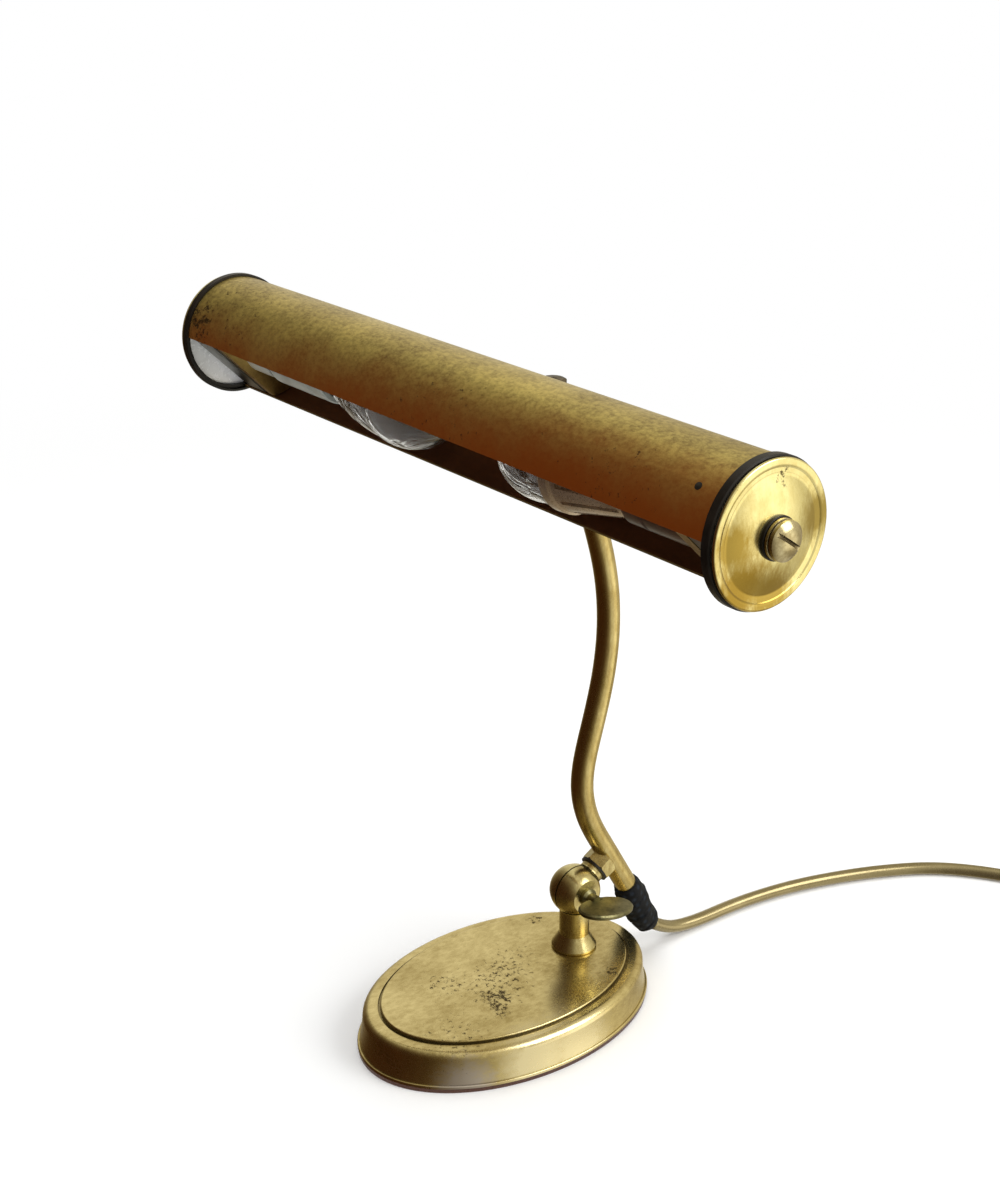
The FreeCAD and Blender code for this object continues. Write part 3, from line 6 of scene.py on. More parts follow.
from __future__ import annotations

import logging
import math
from dataclasses import dataclass
from enum import Enum
from typing import Callable, Mapping, Protocol, Sequence

import bpy
import numpy as np
from mathutils import Matrix, Vector

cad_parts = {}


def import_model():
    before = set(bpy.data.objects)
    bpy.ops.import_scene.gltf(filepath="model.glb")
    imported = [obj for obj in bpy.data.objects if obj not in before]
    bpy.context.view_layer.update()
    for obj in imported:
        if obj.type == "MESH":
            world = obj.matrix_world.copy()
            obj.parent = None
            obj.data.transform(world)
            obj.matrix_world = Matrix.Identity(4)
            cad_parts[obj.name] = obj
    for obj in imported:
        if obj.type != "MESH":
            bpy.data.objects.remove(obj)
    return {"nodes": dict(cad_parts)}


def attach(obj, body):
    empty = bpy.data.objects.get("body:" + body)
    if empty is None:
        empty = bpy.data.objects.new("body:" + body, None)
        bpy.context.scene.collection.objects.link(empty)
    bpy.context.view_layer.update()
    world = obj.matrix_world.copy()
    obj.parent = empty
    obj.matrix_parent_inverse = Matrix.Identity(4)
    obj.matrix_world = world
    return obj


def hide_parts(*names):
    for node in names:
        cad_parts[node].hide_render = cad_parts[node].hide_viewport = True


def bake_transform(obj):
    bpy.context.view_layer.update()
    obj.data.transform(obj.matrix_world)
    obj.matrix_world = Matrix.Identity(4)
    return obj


LOG = logging.getLogger("piano_lamp")
MM = 0.001
WHITE = (1.0, 1.0, 1.0, 1.0)
Grid = np.ndarray
Point = tuple[float, float, float]


# ---------------------------------------------------------------- small helpers
def at(x: float, y: float, z: float) -> Point:
    """A place given in millimetres."""
    return (x * MM, y * MM, z * MM)


def linear(colour: str) -> tuple[float, float, float, float]:
    """Turn an sRGB hex colour into linear RGBA.

    Args:
        colour: Six hex digits with a leading hash.

    Returns:
        Linear red, green and blue with an alpha of one.
    """
    channels = np.array([int(colour[i:i + 2], 16) for i in (1, 3, 5)]) / 255.0
    low, high = channels / 12.92, ((channels + 0.055) / 1.055) ** 2.4
    return (*np.where(channels <= 0.04045, low, high).tolist(), 1.0)


def add_node(tree: bpy.types.NodeTree, kind: str, inputs: Mapping[str | int, object] | None = None,
             **settings: object) -> bpy.types.Node:
    """Add one node to a tree, with its settings, its values and its links.

    Args:
        tree: The tree that the node goes in.
        kind: Blender's name of the node, without its ShaderNode in front.
        inputs: Values or output sockets for the node's inputs, by name or number.
        settings: The node's own properties.

    Returns:
        The new node.
    """
    node = tree.nodes.new("ShaderNode" + kind)
    for name, value in settings.items():
        setattr(node, name, value)
    for key, value in (inputs or {}).items():
        if isinstance(value, bpy.types.NodeSocket):
            tree.links.new(value, node.inputs[key])
        else:
            node.inputs[key].default_value = value
    return node


def empty_material(name: str) -> tuple[bpy.types.Material, bpy.types.NodeTree]:
    """Make a material with no nodes.

    Args:
        name: The finish's name.

    Returns:
        The material and its node tree.
    """
    material = bpy.data.materials.new(name)
    material.use_nodes = True
    material.node_tree.nodes.clear()
    return material, material.node_tree


def add_mesh(name: str, points: np.ndarray, faces: Sequence[Sequence[int]]) -> bpy.types.Object:
    """Make a smooth-shaded mesh object at the origin.

    Args:
        name: The piece's name.
        points: One row of three numbers for each corner.
        faces: The corners of each face.

    Returns:
        The object, linked to the scene.
    """
    mesh = bpy.data.meshes.new(name)
    mesh.from_pydata(points.reshape(-1, 3).tolist(), [], list(faces))
    mesh.polygons.foreach_set("use_smooth", np.ones(len(mesh.polygons), bool))
    mesh.update()
    made = bpy.data.objects.new(name, mesh)
    bpy.context.scene.collection.objects.link(made)
    return made


def tube_faces(rings: int, sides: int) -> list[tuple[int, ...]]:
    """Faces of a closed tube: quads between neighbouring rings, and a flat cap on each end.

    Args:
        rings: How many rings the tube has.
        sides: How many points a ring has.

    Returns:
        The corners of each face, turned so that they point outwards.
    """
    ring, side = np.meshgrid(np.arange(rings - 1), np.arange(sides), indexing="ij")
    following = (side + 1) % sides
    quads = np.stack([ring * sides + side, ring * sides + following,
                      (ring + 1) * sides + following, (ring + 1) * sides + side], axis=-1).reshape(-1, 4)
    last = (rings - 1) * sides
    caps = [tuple(range(sides - 1, -1, -1)), tuple(range(last, last + sides))]
    return [tuple(quad) for quad in quads.tolist()] + caps


def along(points: np.ndarray) -> np.ndarray:
    """Distance from the first point to each point of a line."""
    return np.concatenate([[0.0], np.cumsum(np.linalg.norm(np.diff(points, axis=0), axis=1))])


def carried_frames(points: np.ndarray) -> tuple[np.ndarray, np.ndarray, np.ndarray]:
    """Heading, side and up vectors along a line, with the up vector nearest to the world's.

    The heading is the difference of the neighbouring points. The side is the heading crossed with +Z,
    and the up vector is the side crossed with the heading.

    Args:
        points: The line's points.

    Returns:
        Three arrays with one unit vector for each point.
    """
    heading = np.gradient(points, axis=0)
    heading /= np.linalg.norm(heading, axis=1, keepdims=True)
    side = np.cross(heading, np.array([0.0, 0.0, 1.0]))
    side /= np.linalg.norm(side, axis=1, keepdims=True)
    return heading, side, np.cross(side, heading)


def carried_tube(name: str, points: np.ndarray, radius: Callable[[Grid, Grid], Grid],
                 sides: int) -> bpy.types.Object:
    """Carry a round profile along a line.

    A point at distance s and turn t is the line's point, plus the radius r(s, t) times
    (cos t times the side vector plus sin t times the up vector).

    Args:
        name: The piece's name.
        points: The line's points.
        radius: The radius in metres, from grids of distance and turn.
        sides: How many points go round the profile.

    Returns:
        The tube, closed at both ends.
    """
    _, side, up = carried_frames(points)
    turn = np.linspace(0.0, 2 * math.pi, sides, endpoint=False)
    distance, turns = np.meshgrid(along(points), turn, indexing="ij")
    reach = radius(distance, turns)[..., None]
    grid = points[:, None, :] + reach * (np.cos(turns)[..., None] * side[:, None, :]
                                         + np.sin(turns)[..., None] * up[:, None, :])
    return add_mesh(name, grid, tube_faces(len(points), sides))


def smooth_step(value: Grid) -> Grid:
    """Zero below 0, one above 1, and a smooth rise between."""
    held = np.clip(value, 0.0, 1.0)
    return held * held * (3 - 2 * held)


# ---------------------------------------------------------------- finishes
class Finish(Protocol):
    """Anything that can make a material."""

    def build(self) -> bpy.types.Material:
        """Make the material."""


@dataclass(frozen=True)
class PaintedShadeRamp:
    """A painted shade that deepens along one direction of a piece, standing in for its dimly lit and dimly
    mirrored side.

    Attributes:
        toward: The direction in which it deepens.
        clean_at: The distance along that direction, in metres, where it starts.
        deep_at: The distance where it is deepest.
        colour: Its deepest colour.
        uneven: How far the blotches push its edge about, in metres.
    """

    toward: Point
    clean_at: float
    deep_at: float
    colour: str
    uneven: float = 16 * MM


@dataclass(frozen=True)
class HollowSide:
    """The inner face of a round shell, which never gets polished, and the bare edges of its sheet.

    Attributes:
        centre: A point on the shell's axis, which runs along X.
        radius: Points nearer to the axis than this are on the inner face.
        colour: The inner face's colour.
        stain: The colour of its mottle.
        edge: The colour of the cut edges.
    """

    centre: Point
    radius: float
    colour: str
    stain: str = "#9a6038"
    edge: str = "#80683c"


@dataclass(frozen=True)
class Patch:
    """A place on brass: eaten into dark pits, worn to another colour, or given a painted highlight or painted
    shade.

    Attributes:
        centre: The patch's middle.
        radius: Its reach in metres.
        wear_and_painted_light_colour: The colour it is worn to, or its painted highlight or painted shade;
            none where the patch is pitted.
        eaten: How much a pitted patch lifts the specks' level: more gives closer pits. A coloured one has
            none.
    """

    centre: Point
    radius: float
    wear_and_painted_light_colour: str | None = None
    eaten: float = 0.0


@dataclass(frozen=True)
class Wear:
    """How much each pattern on brass adds to its roughness, and how high it stands.

    Attributes:
        tarnish: The roughness that blotches and mottle add.
        marks: The roughness that rubbing marks add.
        pits: The roughness that specks and pits add.
        last_coloured_patch: The roughness that the last worn or painted patch adds. The coloured patches
            before it stay smooth.
        inner: The roughness that a shell's inner face adds.
        pit_depth: How deep the specks are, as a share of the marks' height.
        mottle_height: How high the mottle stands, as a share of the marks' height.
    """

    tarnish: float = 0.12
    marks: float = 0.08
    pits: float = 0.3
    last_coloured_patch: float = 0.2
    inner: float = 0.3
    pit_depth: float = 1.4
    mottle_height: float = 0.8


@dataclass(frozen=True)
class AgedBrass:
    """Sheet, tube or cast brass with an old satin lacquer, wiped but not polished.

    The eye gets a dull gold that mirrors its surroundings softly, olive and brown blotches,
    a fine mottle of oxide in short strokes, ragged dark specks and faint rubbing marks.

    Attributes:
        name: The finish's name.
        colour: The metal where it is clean.
        tarnish: The colour of the blotches.
        speck: The colour of the specks and pits.
        roughness: The clean metal's roughness.
        blotch_mm: The size of the blotches.
        mottle_mm: The size of the fine mottle.
        speck_mm: The size of the specks' pattern.
        marks_mm: The spacing of the rubbing marks, drawn coarser than real ones so that they show.
        speck_from: The noise level above which a speck shows: a higher one leaves fewer.
        speck_edge: How far above that level a speck is at its darkest.
        tarnished: How much of the blotch colour shows, from 0 to 1.
        mottled: How strongly the mottle darkens, from 0 to 1.
        rub: How much finer the strokes are along X, Y and Z: below one draws them out.
        relief: The strength of the bump.
        metallic: One for bare metal, less where oxide scatters the light.
        painted_corner_shade: How dark the painted shade in corners and grooves is, from 0 to 1.
        wear: What the patterns do to the roughness and the relief.
        ramp: A painted shade that deepens one way.
        hollow: The inner face of a shell.
        patches: Places that are pitted, worn, or given a painted highlight or painted shade.
    """

    name: str
    colour: str = "#cdb878"
    tarnish: str = "#9c7f3f"
    speck: str = "#3a2a15"
    roughness: float = 0.3
    blotch_mm: float = 34.0
    mottle_mm: float = 2.2
    speck_mm: float = 3.4
    marks_mm: float = 2 / 3
    speck_from: float = 0.7
    speck_edge: float = 0.05
    tarnished: float = 0.5
    mottled: float = 0.35
    rub: Point = (0.4, 1.0, 1.0)
    relief: float = 0.14
    metallic: float = 1.0
    painted_corner_shade: float = 0.0
    wear: Wear = Wear()
    ramp: PaintedShadeRamp | None = None
    hollow: HollowSide | None = None
    patches: tuple[Patch, ...] = ()

    def build(self) -> bpy.types.Material:
        """Make the material.

        Returns:
            The material.
        """
        material, tree = empty_material(self.name)
        wear = self.wear
        place = add_node(tree, "TexCoord").outputs["Object"]
        strokes = add_node(tree, "Mapping", {"Vector": place, "Scale": self.rub}).outputs[0]
        blotch = add_node(tree, "TexNoise", {"Vector": place, "Scale": 1000 / self.blotch_mm, "Detail": 6.0,
                                             "Roughness": 0.65}).outputs["Fac"]
        mottle = add_node(tree, "TexNoise", {"Vector": strokes, "Scale": 1000 / self.mottle_mm, "Detail": 6.0,
                                             "Roughness": 0.75}).outputs["Fac"]
        marks = add_node(tree, "TexNoise", {"Vector": strokes, "Scale": 1000 / self.marks_mm, "Detail": 3.0,
                                            "Roughness": 0.6}).outputs["Fac"]
        # A noise keeps near 0.5, so each pattern fades in over the middle of its range.
        blotched = add_node(tree, "MapRange", {"Value": blotch, "From Min": 0.4, "From Max": 0.66,
                                               "To Max": self.tarnished}).outputs["Result"]
        mottled = add_node(tree, "MapRange", {"Value": mottle, "From Min": 0.4, "From Max": 0.66,
                                              "To Max": self.mottled}).outputs["Result"]
        amount = add_node(tree, "Math", {0: blotched, 1: mottled}, operation="ADD", use_clamp=True).outputs[0]
        colour = add_node(tree, "Mix", {"Factor": amount, 6: linear(self.colour), 7: linear(self.tarnish)},
                          data_type="RGBA").outputs[2]
        # Painted shade: the colour darkens toward one side of the piece.
        if self.ramp:
            colour = self._deepen(tree, place, colour, blotch)
        last_coloured_patch = None
        # Coloured patches: real wear, and painted highlights and painted shade.
        for patch in self.patches:
            if patch.wear_and_painted_light_colour:
                last_coloured_patch = self._inside(tree, place, patch, mottle)
                colour = add_node(tree, "Mix", {"Factor": last_coloured_patch, 6: colour, 7: linear(patch.wear_and_painted_light_colour)},
                                  data_type="RGBA").outputs[2]
        specks = self._specks(tree, place)
        # Painted shade: corners, grooves and slots darken by how enclosed they are, in the speck colour, so
        # from here the specks carry this painted shade too.
        if self.painted_corner_shade:
            corner = add_node(tree, "AmbientOcclusion", {"Distance": 2.2 * MM}, samples=6, only_local=True)
            corner_shade_share = add_node(tree, "MapRange", {"Value": corner.outputs["AO"], "From Min": 0.85,
                                                "From Max": 0.45, "To Max": self.painted_corner_shade}).outputs["Result"]
            specks = add_node(tree, "Math", {0: specks, 1: corner_shade_share}, operation="MAXIMUM").outputs[0]
        colour = add_node(tree, "Mix", {"Factor": specks, 6: colour, 7: linear(self.speck)},
                          data_type="RGBA").outputs[2]
        rough = add_node(tree, "Math", {0: amount, 1: wear.tarnish, 2: self.roughness},
                         operation="MULTIPLY_ADD").outputs[0]
        rough = add_node(tree, "Math", {0: marks, 1: wear.marks, 2: rough},
                         operation="MULTIPLY_ADD").outputs[0]
        rough = add_node(tree, "Math", {0: specks, 1: wear.pits, 2: rough}, operation="MULTIPLY_ADD",
                         use_clamp=True).outputs[0]
        if last_coloured_patch:
            rough = add_node(tree, "Math", {0: last_coloured_patch, 1: wear.last_coloured_patch, 2: rough},
                             operation="MULTIPLY_ADD").outputs[0]
        if self.hollow:
            inner, edge = self._inner_face(tree, place)
            dark = add_node(tree, "Mix", {"Factor": mottle, 6: linear(self.hollow.colour),
                                          7: linear(self.hollow.stain)}, data_type="RGBA").outputs[2]
            colour = add_node(tree, "Mix", {"Factor": inner, 6: colour, 7: dark}, data_type="RGBA").outputs[2]
            colour = add_node(tree, "Mix", {"Factor": edge, 6: colour, 7: linear(self.hollow.edge)},
                              data_type="RGBA").outputs[2]
            rough = add_node(tree, "Math", {0: inner, 1: wear.inner, 2: rough}, operation="MULTIPLY_ADD",
                             use_clamp=True).outputs[0]
        height = add_node(tree, "Math", {0: specks, 1: -wear.pit_depth, 2: marks},
                          operation="MULTIPLY_ADD").outputs[0]
        height = add_node(tree, "Math", {0: mottle, 1: wear.mottle_height, 2: height},
                          operation="MULTIPLY_ADD").outputs[0]
        bump = add_node(tree, "Bump", {"Height": height, "Strength": self.relief, "Distance": 0.1 * MM})
        surface = add_node(tree, "BsdfPrincipled", {"Base Color": colour, "Metallic": self.metallic,
                                                    "Roughness": rough, "Normal": bump.outputs[0]})
        add_node(tree, "OutputMaterial", {"Surface": surface.outputs[0]})
        return material

    def _deepen(self, tree: bpy.types.NodeTree, place: bpy.types.NodeSocket, colour: bpy.types.NodeSocket,
                blotch: bpy.types.NodeSocket) -> bpy.types.NodeSocket:
        """Mix in the ramp's painted shade, with an edge made uneven by the blotches.

        Args:
            tree: The material's tree.
            place: The object coordinates.
            colour: The colour so far.
            blotch: The blotches' noise.

        Returns:
            The colour with the ramp.
        """
        reach = add_node(tree, "VectorMath", {0: place, 1: self.ramp.toward}, operation="DOT_PRODUCT")
        uneven = add_node(tree, "Math", {0: blotch, 1: self.ramp.uneven, 2: reach.outputs["Value"]},
                          operation="MULTIPLY_ADD").outputs[0]
        middle = self.ramp.uneven / 2
        share = add_node(tree, "MapRange", {"Value": uneven, "From Min": self.ramp.clean_at + middle,
                                            "From Max": self.ramp.deep_at + middle},
                         interpolation_type="SMOOTHSTEP").outputs["Result"]
        return add_node(tree, "Mix", {"Factor": share, 6: colour, 7: linear(self.ramp.colour)},
                        data_type="RGBA").outputs[2]

    def _inside(self, tree: bpy.types.NodeTree, place: bpy.types.NodeSocket, patch: Patch,
                ragged: bpy.types.NodeSocket | float) -> bpy.types.NodeSocket:
        """One in a patch's middle, falling to zero at its reach, pushed about by a noise.

        Args:
            tree: The material's tree.
            place: The object coordinates.
            patch: The patch.
            ragged: The noise that makes its edge uneven.

        Returns:
            The mask.
        """
        away = add_node(tree, "VectorMath", {0: place, 1: patch.centre}, operation="DISTANCE")
        pushed = add_node(tree, "Math", {0: ragged, 1: -patch.radius, 2: away.outputs["Value"]},
                          operation="MULTIPLY_ADD").outputs[0]
        return add_node(tree, "MapRange", {"Value": pushed, "From Min": 0.5 * patch.radius,
                                           "From Max": -0.1 * patch.radius}).outputs["Result"]

    def _specks(self, tree: bpy.types.NodeTree, place: bpy.types.NodeSocket) -> bpy.types.NodeSocket:
        """Ragged specks where a noise is highest, and many more of them inside the pitted patches.

        Args:
            tree: The material's tree.
            place: The object coordinates.

        Returns:
            Nearly one inside a speck or pit, zero outside.
        """
        level = add_node(tree, "TexNoise", {"Vector": place, "Scale": 1000 / self.speck_mm, "Detail": 7.0,
                                            "Roughness": 0.8}).outputs["Fac"]
        even_edge = 0.5
        for patch in self.patches:
            if not patch.wear_and_painted_light_colour:
                inside = self._inside(tree, place, patch, even_edge)
                level = add_node(tree, "Math", {0: inside, 1: patch.eaten, 2: level},
                                 operation="MULTIPLY_ADD").outputs[0]
        speck = add_node(tree, "MapRange", {"Value": level, "From Min": self.speck_from,
                                            "From Max": self.speck_from + self.speck_edge, "To Max": 0.9})
        return speck.outputs["Result"]

    def _inner_face(self, tree: bpy.types.NodeTree,
                    place: bpy.types.NodeSocket) -> tuple[bpy.types.NodeSocket, bpy.types.NodeSocket]:
        """Find the inner face by its distance from the axis, and the cut edges by how little they face away.

        Args:
            tree: The material's tree.
            place: The object coordinates.

        Returns:
            One on the inner face, and one on the cut edges.
        """
        local = add_node(tree, "VectorMath", {0: place, 1: self.hollow.centre}, operation="SUBTRACT")
        across = add_node(tree, "VectorMath", {0: local.outputs[0], 1: (0.0, 1.0, 1.0)},
                          operation="MULTIPLY").outputs[0]
        radius = add_node(tree, "VectorMath", {0: across}, operation="LENGTH").outputs["Value"]
        inner = add_node(tree, "Math", {0: radius, 1: self.hollow.radius}, operation="LESS_THAN").outputs[0]
        outward = add_node(tree, "VectorMath", {0: across}, operation="NORMALIZE").outputs[0]
        facing = add_node(tree, "VectorMath", {0: outward, 1: add_node(tree, "TexCoord").outputs["Normal"]},
                          operation="DOT_PRODUCT").outputs["Value"]
        turned = add_node(tree, "Math", {0: facing}, operation="ABSOLUTE").outputs[0]
        edge = add_node(tree, "Math", {0: turned, 1: 0.5}, operation="LESS_THAN").outputs[0]
        return inner, edge


@dataclass(frozen=True)
class Moulded:
    """Moulded, painted, plated or turned stock with a fine uneven surface.

    The eye gets one even colour with slight clouding, and a grain that breaks up its highlights.

    Attributes:
        name: The finish's name.
        colour: Its main colour.
        worn: The colour of its rubbed or dusty places.
        wear: How much of that shows, from 0 to 1.
        roughness: Its roughness.
        uneven: How far the grain takes the roughness down and up.
        metallic: One for a metal, zero for plastic, rubber, card or paint.
        grain_mm: The size of the grain.
        clouding: How many grains wide the clouding is.
        relief: The strength of the grain's bump.
        coat: The weight of a clear gloss over it.
        shine: The specular level of its bare surface.
    """

    name: str
    colour: str
    worn: str
    wear: float = 0.5
    roughness: float = 0.4
    uneven: tuple[float, float] = (-0.08, 0.1)
    metallic: float = 0.0
    grain_mm: float = 0.8
    clouding: float = 12.0
    relief: float = 0.15
    coat: float = 0.0
    shine: float = 0.5

    def build(self) -> bpy.types.Material:
        """Make the material.

        Returns:
            The material.
        """
        material, tree = empty_material(self.name)
        place = add_node(tree, "TexCoord").outputs["Object"]
        cloud = add_node(tree, "TexNoise", {"Vector": place, "Scale": 1000 / (self.clouding * self.grain_mm),
                                            "Detail": 5.0, "Roughness": 0.65}).outputs["Fac"]
        grain = add_node(tree, "TexNoise", {"Vector": place, "Scale": 1000 / self.grain_mm, "Detail": 4.0,
                                            "Roughness": 0.6}).outputs["Fac"]
        share = add_node(tree, "MapRange", {"Value": cloud, "From Min": 0.4, "From Max": 0.7,
                                            "To Max": self.wear}).outputs["Result"]
        colour = add_node(tree, "Mix", {"Factor": share, 6: linear(self.colour), 7: linear(self.worn)},
                          data_type="RGBA").outputs[2]
        rough = add_node(tree, "MapRange", {"Value": grain, "To Min": self.roughness + self.uneven[0],
                                            "To Max": self.roughness + self.uneven[1]}).outputs["Result"]
        bump = add_node(tree, "Bump", {"Height": grain, "Strength": self.relief, "Distance": 0.1 * MM})
        surface = add_node(tree, "BsdfPrincipled", {"Base Color": colour, "Metallic": self.metallic,
                                                    "Roughness": rough, "Coat Weight": self.coat,
                                                    "Coat Roughness": 0.12, "Specular IOR Level": self.shine,
                                                    "Normal": bump.outputs[0]})
        add_node(tree, "OutputMaterial", {"Surface": surface.outputs[0]})
        return material


@dataclass(frozen=True)
class PressedFelt:
    """Wool felt, pressed and cut, under the base.

    The eye gets a dull matt brown with loose fibres in every direction and a soft bright rim.

    Attributes:
        name: The finish's name.
        colour: The dye.
        fibre: The colour of the lighter fibres.
        fibre_mm: The fibres' spacing, drawn coarser than the real 0.03 mm so that it shows.
    """

    name: str = "pressed_wool_felt"
    colour: str = "#3c1c10"
    fibre: str = "#6b3f28"
    fibre_mm: float = 0.5

    def build(self) -> bpy.types.Material:
        """Make the material.

        Returns:
            The material.
        """
        material, tree = empty_material(self.name)
        place = add_node(tree, "TexCoord").outputs["Object"]
        fibres = add_node(tree, "TexNoise", {"Vector": place, "Scale": 1000 / self.fibre_mm, "Detail": 6.0,
                                             "Roughness": 0.8, "Distortion": 1.5}).outputs["Fac"]
        share = add_node(tree, "MapRange", {"Value": fibres, "From Min": 0.42, "From Max": 0.68})
        colour = add_node(tree, "Mix", {"Factor": share.outputs["Result"], 6: linear(self.colour),
                                        7: linear(self.fibre)}, data_type="RGBA").outputs[2]
        bump = add_node(tree, "Bump", {"Height": fibres, "Strength": 0.7, "Distance": 0.3 * MM})
        surface = add_node(tree, "BsdfPrincipled", {"Base Color": colour, "Roughness": 0.95,
                                                    "Sheen Weight": 0.4, "Sheen Roughness": 0.5,
                                                    "Normal": bump.outputs[0]})
        add_node(tree, "OutputMaterial", {"Surface": surface.outputs[0]})
        return material


@dataclass(frozen=True)
class WovenTape:
    """Black cotton friction tape, woven square and gummed. Its bands follow the piece's own map.

    The eye gets a blue-black cloth, uneven both ways, with fuzzy threads and dull grey rubbed places.

    Attributes:
        name: The finish's name.
        colour: The gummed cloth.
        worn: The rubbed threads.
        band_mm: The spacing of the soft bands both ways, many threads wide so that they show.
        fuzz_mm: The size of the fuzz, drawn coarser than real threads so that it shows.
        fuzz_height: How high the fuzz stands, as a share of the bands' height.
    """

    name: str = "woven_friction_tape"
    colour: str = "#080b11"
    worn: str = "#242e3a"
    band_mm: float = 0.62 * 2 * math.pi
    fuzz_mm: float = 1000 / 700  # 700 to a metre
    fuzz_height: float = 0.8

    def build(self) -> bpy.types.Material:
        """Make the material.

        Returns:
            The material.
        """
        material, tree = empty_material(self.name)
        cloth = add_node(tree, "UVMap", uv_map="wound").outputs[0]
        place = add_node(tree, "TexCoord").outputs["Object"]
        waves_per_unit = 20 / (2 * math.pi)  # Blender's wave texture at a scale of one
        bands = {"Vector": cloth, "Scale": 1000 / self.band_mm / waves_per_unit, "Distortion": 0.6,
                 "Detail Scale": 3.0}
        warp = add_node(tree, "TexWave", bands, bands_direction="X").outputs["Fac"]
        weft = add_node(tree, "TexWave", bands, bands_direction="Y").outputs["Fac"]
        threads = add_node(tree, "Math", {0: warp, 1: weft}, operation="MULTIPLY").outputs[0]
        fuzz = add_node(tree, "TexNoise", {"Vector": place, "Scale": 1000 / self.fuzz_mm, "Detail": 6.0,
                                           "Roughness": 0.75}).outputs["Fac"]
        height = add_node(tree, "Math", {0: fuzz, 1: self.fuzz_height, 2: threads},
                          operation="MULTIPLY_ADD").outputs[0]
        share = add_node(tree, "MapRange", {"Value": height, "From Min": 0.6, "From Max": 1.5,
                                            "To Max": 0.7}).outputs["Result"]
        colour = add_node(tree, "Mix", {"Factor": share, 6: linear(self.colour), 7: linear(self.worn)},
                          data_type="RGBA").outputs[2]
        bump = add_node(tree, "Bump", {"Height": height, "Strength": 0.8, "Distance": 0.25 * MM})
        surface = add_node(tree, "BsdfPrincipled", {"Base Color": colour, "Roughness": 0.7,
                                                    "Specular IOR Level": 0.25, "Normal": bump.outputs[0]})
        add_node(tree, "OutputMaterial", {"Surface": surface.outputs[0]})
        return material


@dataclass(frozen=True)
class ClearGlass:
    """Blown clear glass, thin-walled and a little dusty.

    The eye gets bright rims and highlights with the pieces behind showing through.

    Attributes:
        name: The finish's name.
        tint: The glass's own colour.
        roughness: Its roughness where it is clean.
        dusty: The roughness that dust adds.
        dust_mm: The size of the dusty places.
        swirl_mm: The size of the blown glass's slow waves.
    """

    name: str = "blown_clear_glass"
    tint: str = "#f4f3ee"
    roughness: float = 0.03
    dusty: float = 0.1
    dust_mm: float = 6.25
    swirl_mm: float = 1000 / 38  # 38 to a metre

    def build(self) -> bpy.types.Material:
        """Make the material.

        Returns:
            The material.
        """
        material, tree = empty_material(self.name)
        place = add_node(tree, "TexCoord").outputs["Object"]
        dust = add_node(tree, "TexNoise", {"Vector": place, "Scale": 1000 / self.dust_mm, "Detail": 6.0})
        rough = add_node(tree, "MapRange", {"Value": dust.outputs["Fac"], "From Min": 0.4, "From Max": 0.75,
                                            "To Min": self.roughness, "To Max": self.roughness + self.dusty})
        swirl = add_node(tree, "TexNoise", {"Vector": place, "Scale": 1000 / self.swirl_mm,
                                            "Distortion": 1.4})
        bump = add_node(tree, "Bump", {"Height": swirl.outputs["Fac"], "Strength": 0.6, "Distance": 3 * MM})
        surface = add_node(tree, "BsdfPrincipled", {"Base Color": linear(self.tint), "IOR": 1.47,
                                                    "Transmission Weight": 0.99,
                                                    "Roughness": rough.outputs["Result"],
                                                    "Normal": bump.outputs[0]})
        add_node(tree, "OutputMaterial", {"Surface": surface.outputs[0]})
        return material


# ---------------------------------------------------------------- where this lamp is worn and pitted, and its painted light and shade
SHADE_AXIS = at(0.0, -25.4, 279.1)
SHADE_RADIUS = 25.0 * MM
SHADE_WALL = 0.8 * MM

# Painted shade: the shade's colour darkens to orange-brown toward its lower front, near the slit's lower lip,
# a little more toward its right end; it stands in for the dim side that this face mirrors.
LIP_TURN = math.radians(215.0)
LIP_SIDE: Point = (0.035, math.cos(LIP_TURN), math.sin(LIP_TURN))
LIP_LEVEL = SHADE_AXIS[1] * LIP_SIDE[1] + SHADE_AXIS[2] * LIP_SIDE[2]
PAINTED_LOW_SHADE = PaintedShadeRamp(LIP_SIDE, LIP_LEVEL - 4 * MM, LIP_LEVEL + 24 * MM, "#b1591a")

SHADE_PITS = tuple(Patch(at(*centre), radius * MM, eaten=eaten) for centre, radius, eaten in (
    ((-152, -48, 289), 13, 0.13), ((-57, -50, 274), 9, 0.13), ((-130, -40, 298), 34, 0.06),
    ((20, -49, 284), 40, 0.06), ((115, -48, 288), 30, 0.06)))

PLATE_TOP = 19.4  # millimetres above the table
BASE_PITS = tuple(Patch(at(*centre), radius * MM, eaten=eaten) for centre, radius, eaten in (
    ((13, -15, PLATE_TOP), 9, 0.09), ((21, -20, PLATE_TOP), 7, 0.095), ((3, -9, PLATE_TOP), 20, 0.08),
    ((6, -14, PLATE_TOP), 44, 0.07), ((-13, -27, PLATE_TOP), 12, 0.09), ((-10, 14, PLATE_TOP), 22, 0.09),
    ((-27, 39, PLATE_TOP), 7, 0.18), ((27, 39, PLATE_TOP), 6, 0.2), ((24, -50, 17), 22, 0.11)))
# The first two are painted highlights: bright cream on the base's right-hand side wall. The third is a place
# at the front foot worn silvery.
BASE_SHEEN_AND_WEAR = (Patch(at(47, -20, 8), 20 * MM, "#efe3b6"), Patch(at(48, 4, 8), 21 * MM, "#efe3b6"),
               Patch(at(34, -49, 2), 16 * MM, "#cfc7bd"))

CAP_FACE = 165  # millimetres to the right
CAP_PITS = (Patch(at(CAP_FACE, -22, 298), 6 * MM, eaten=0.2),)
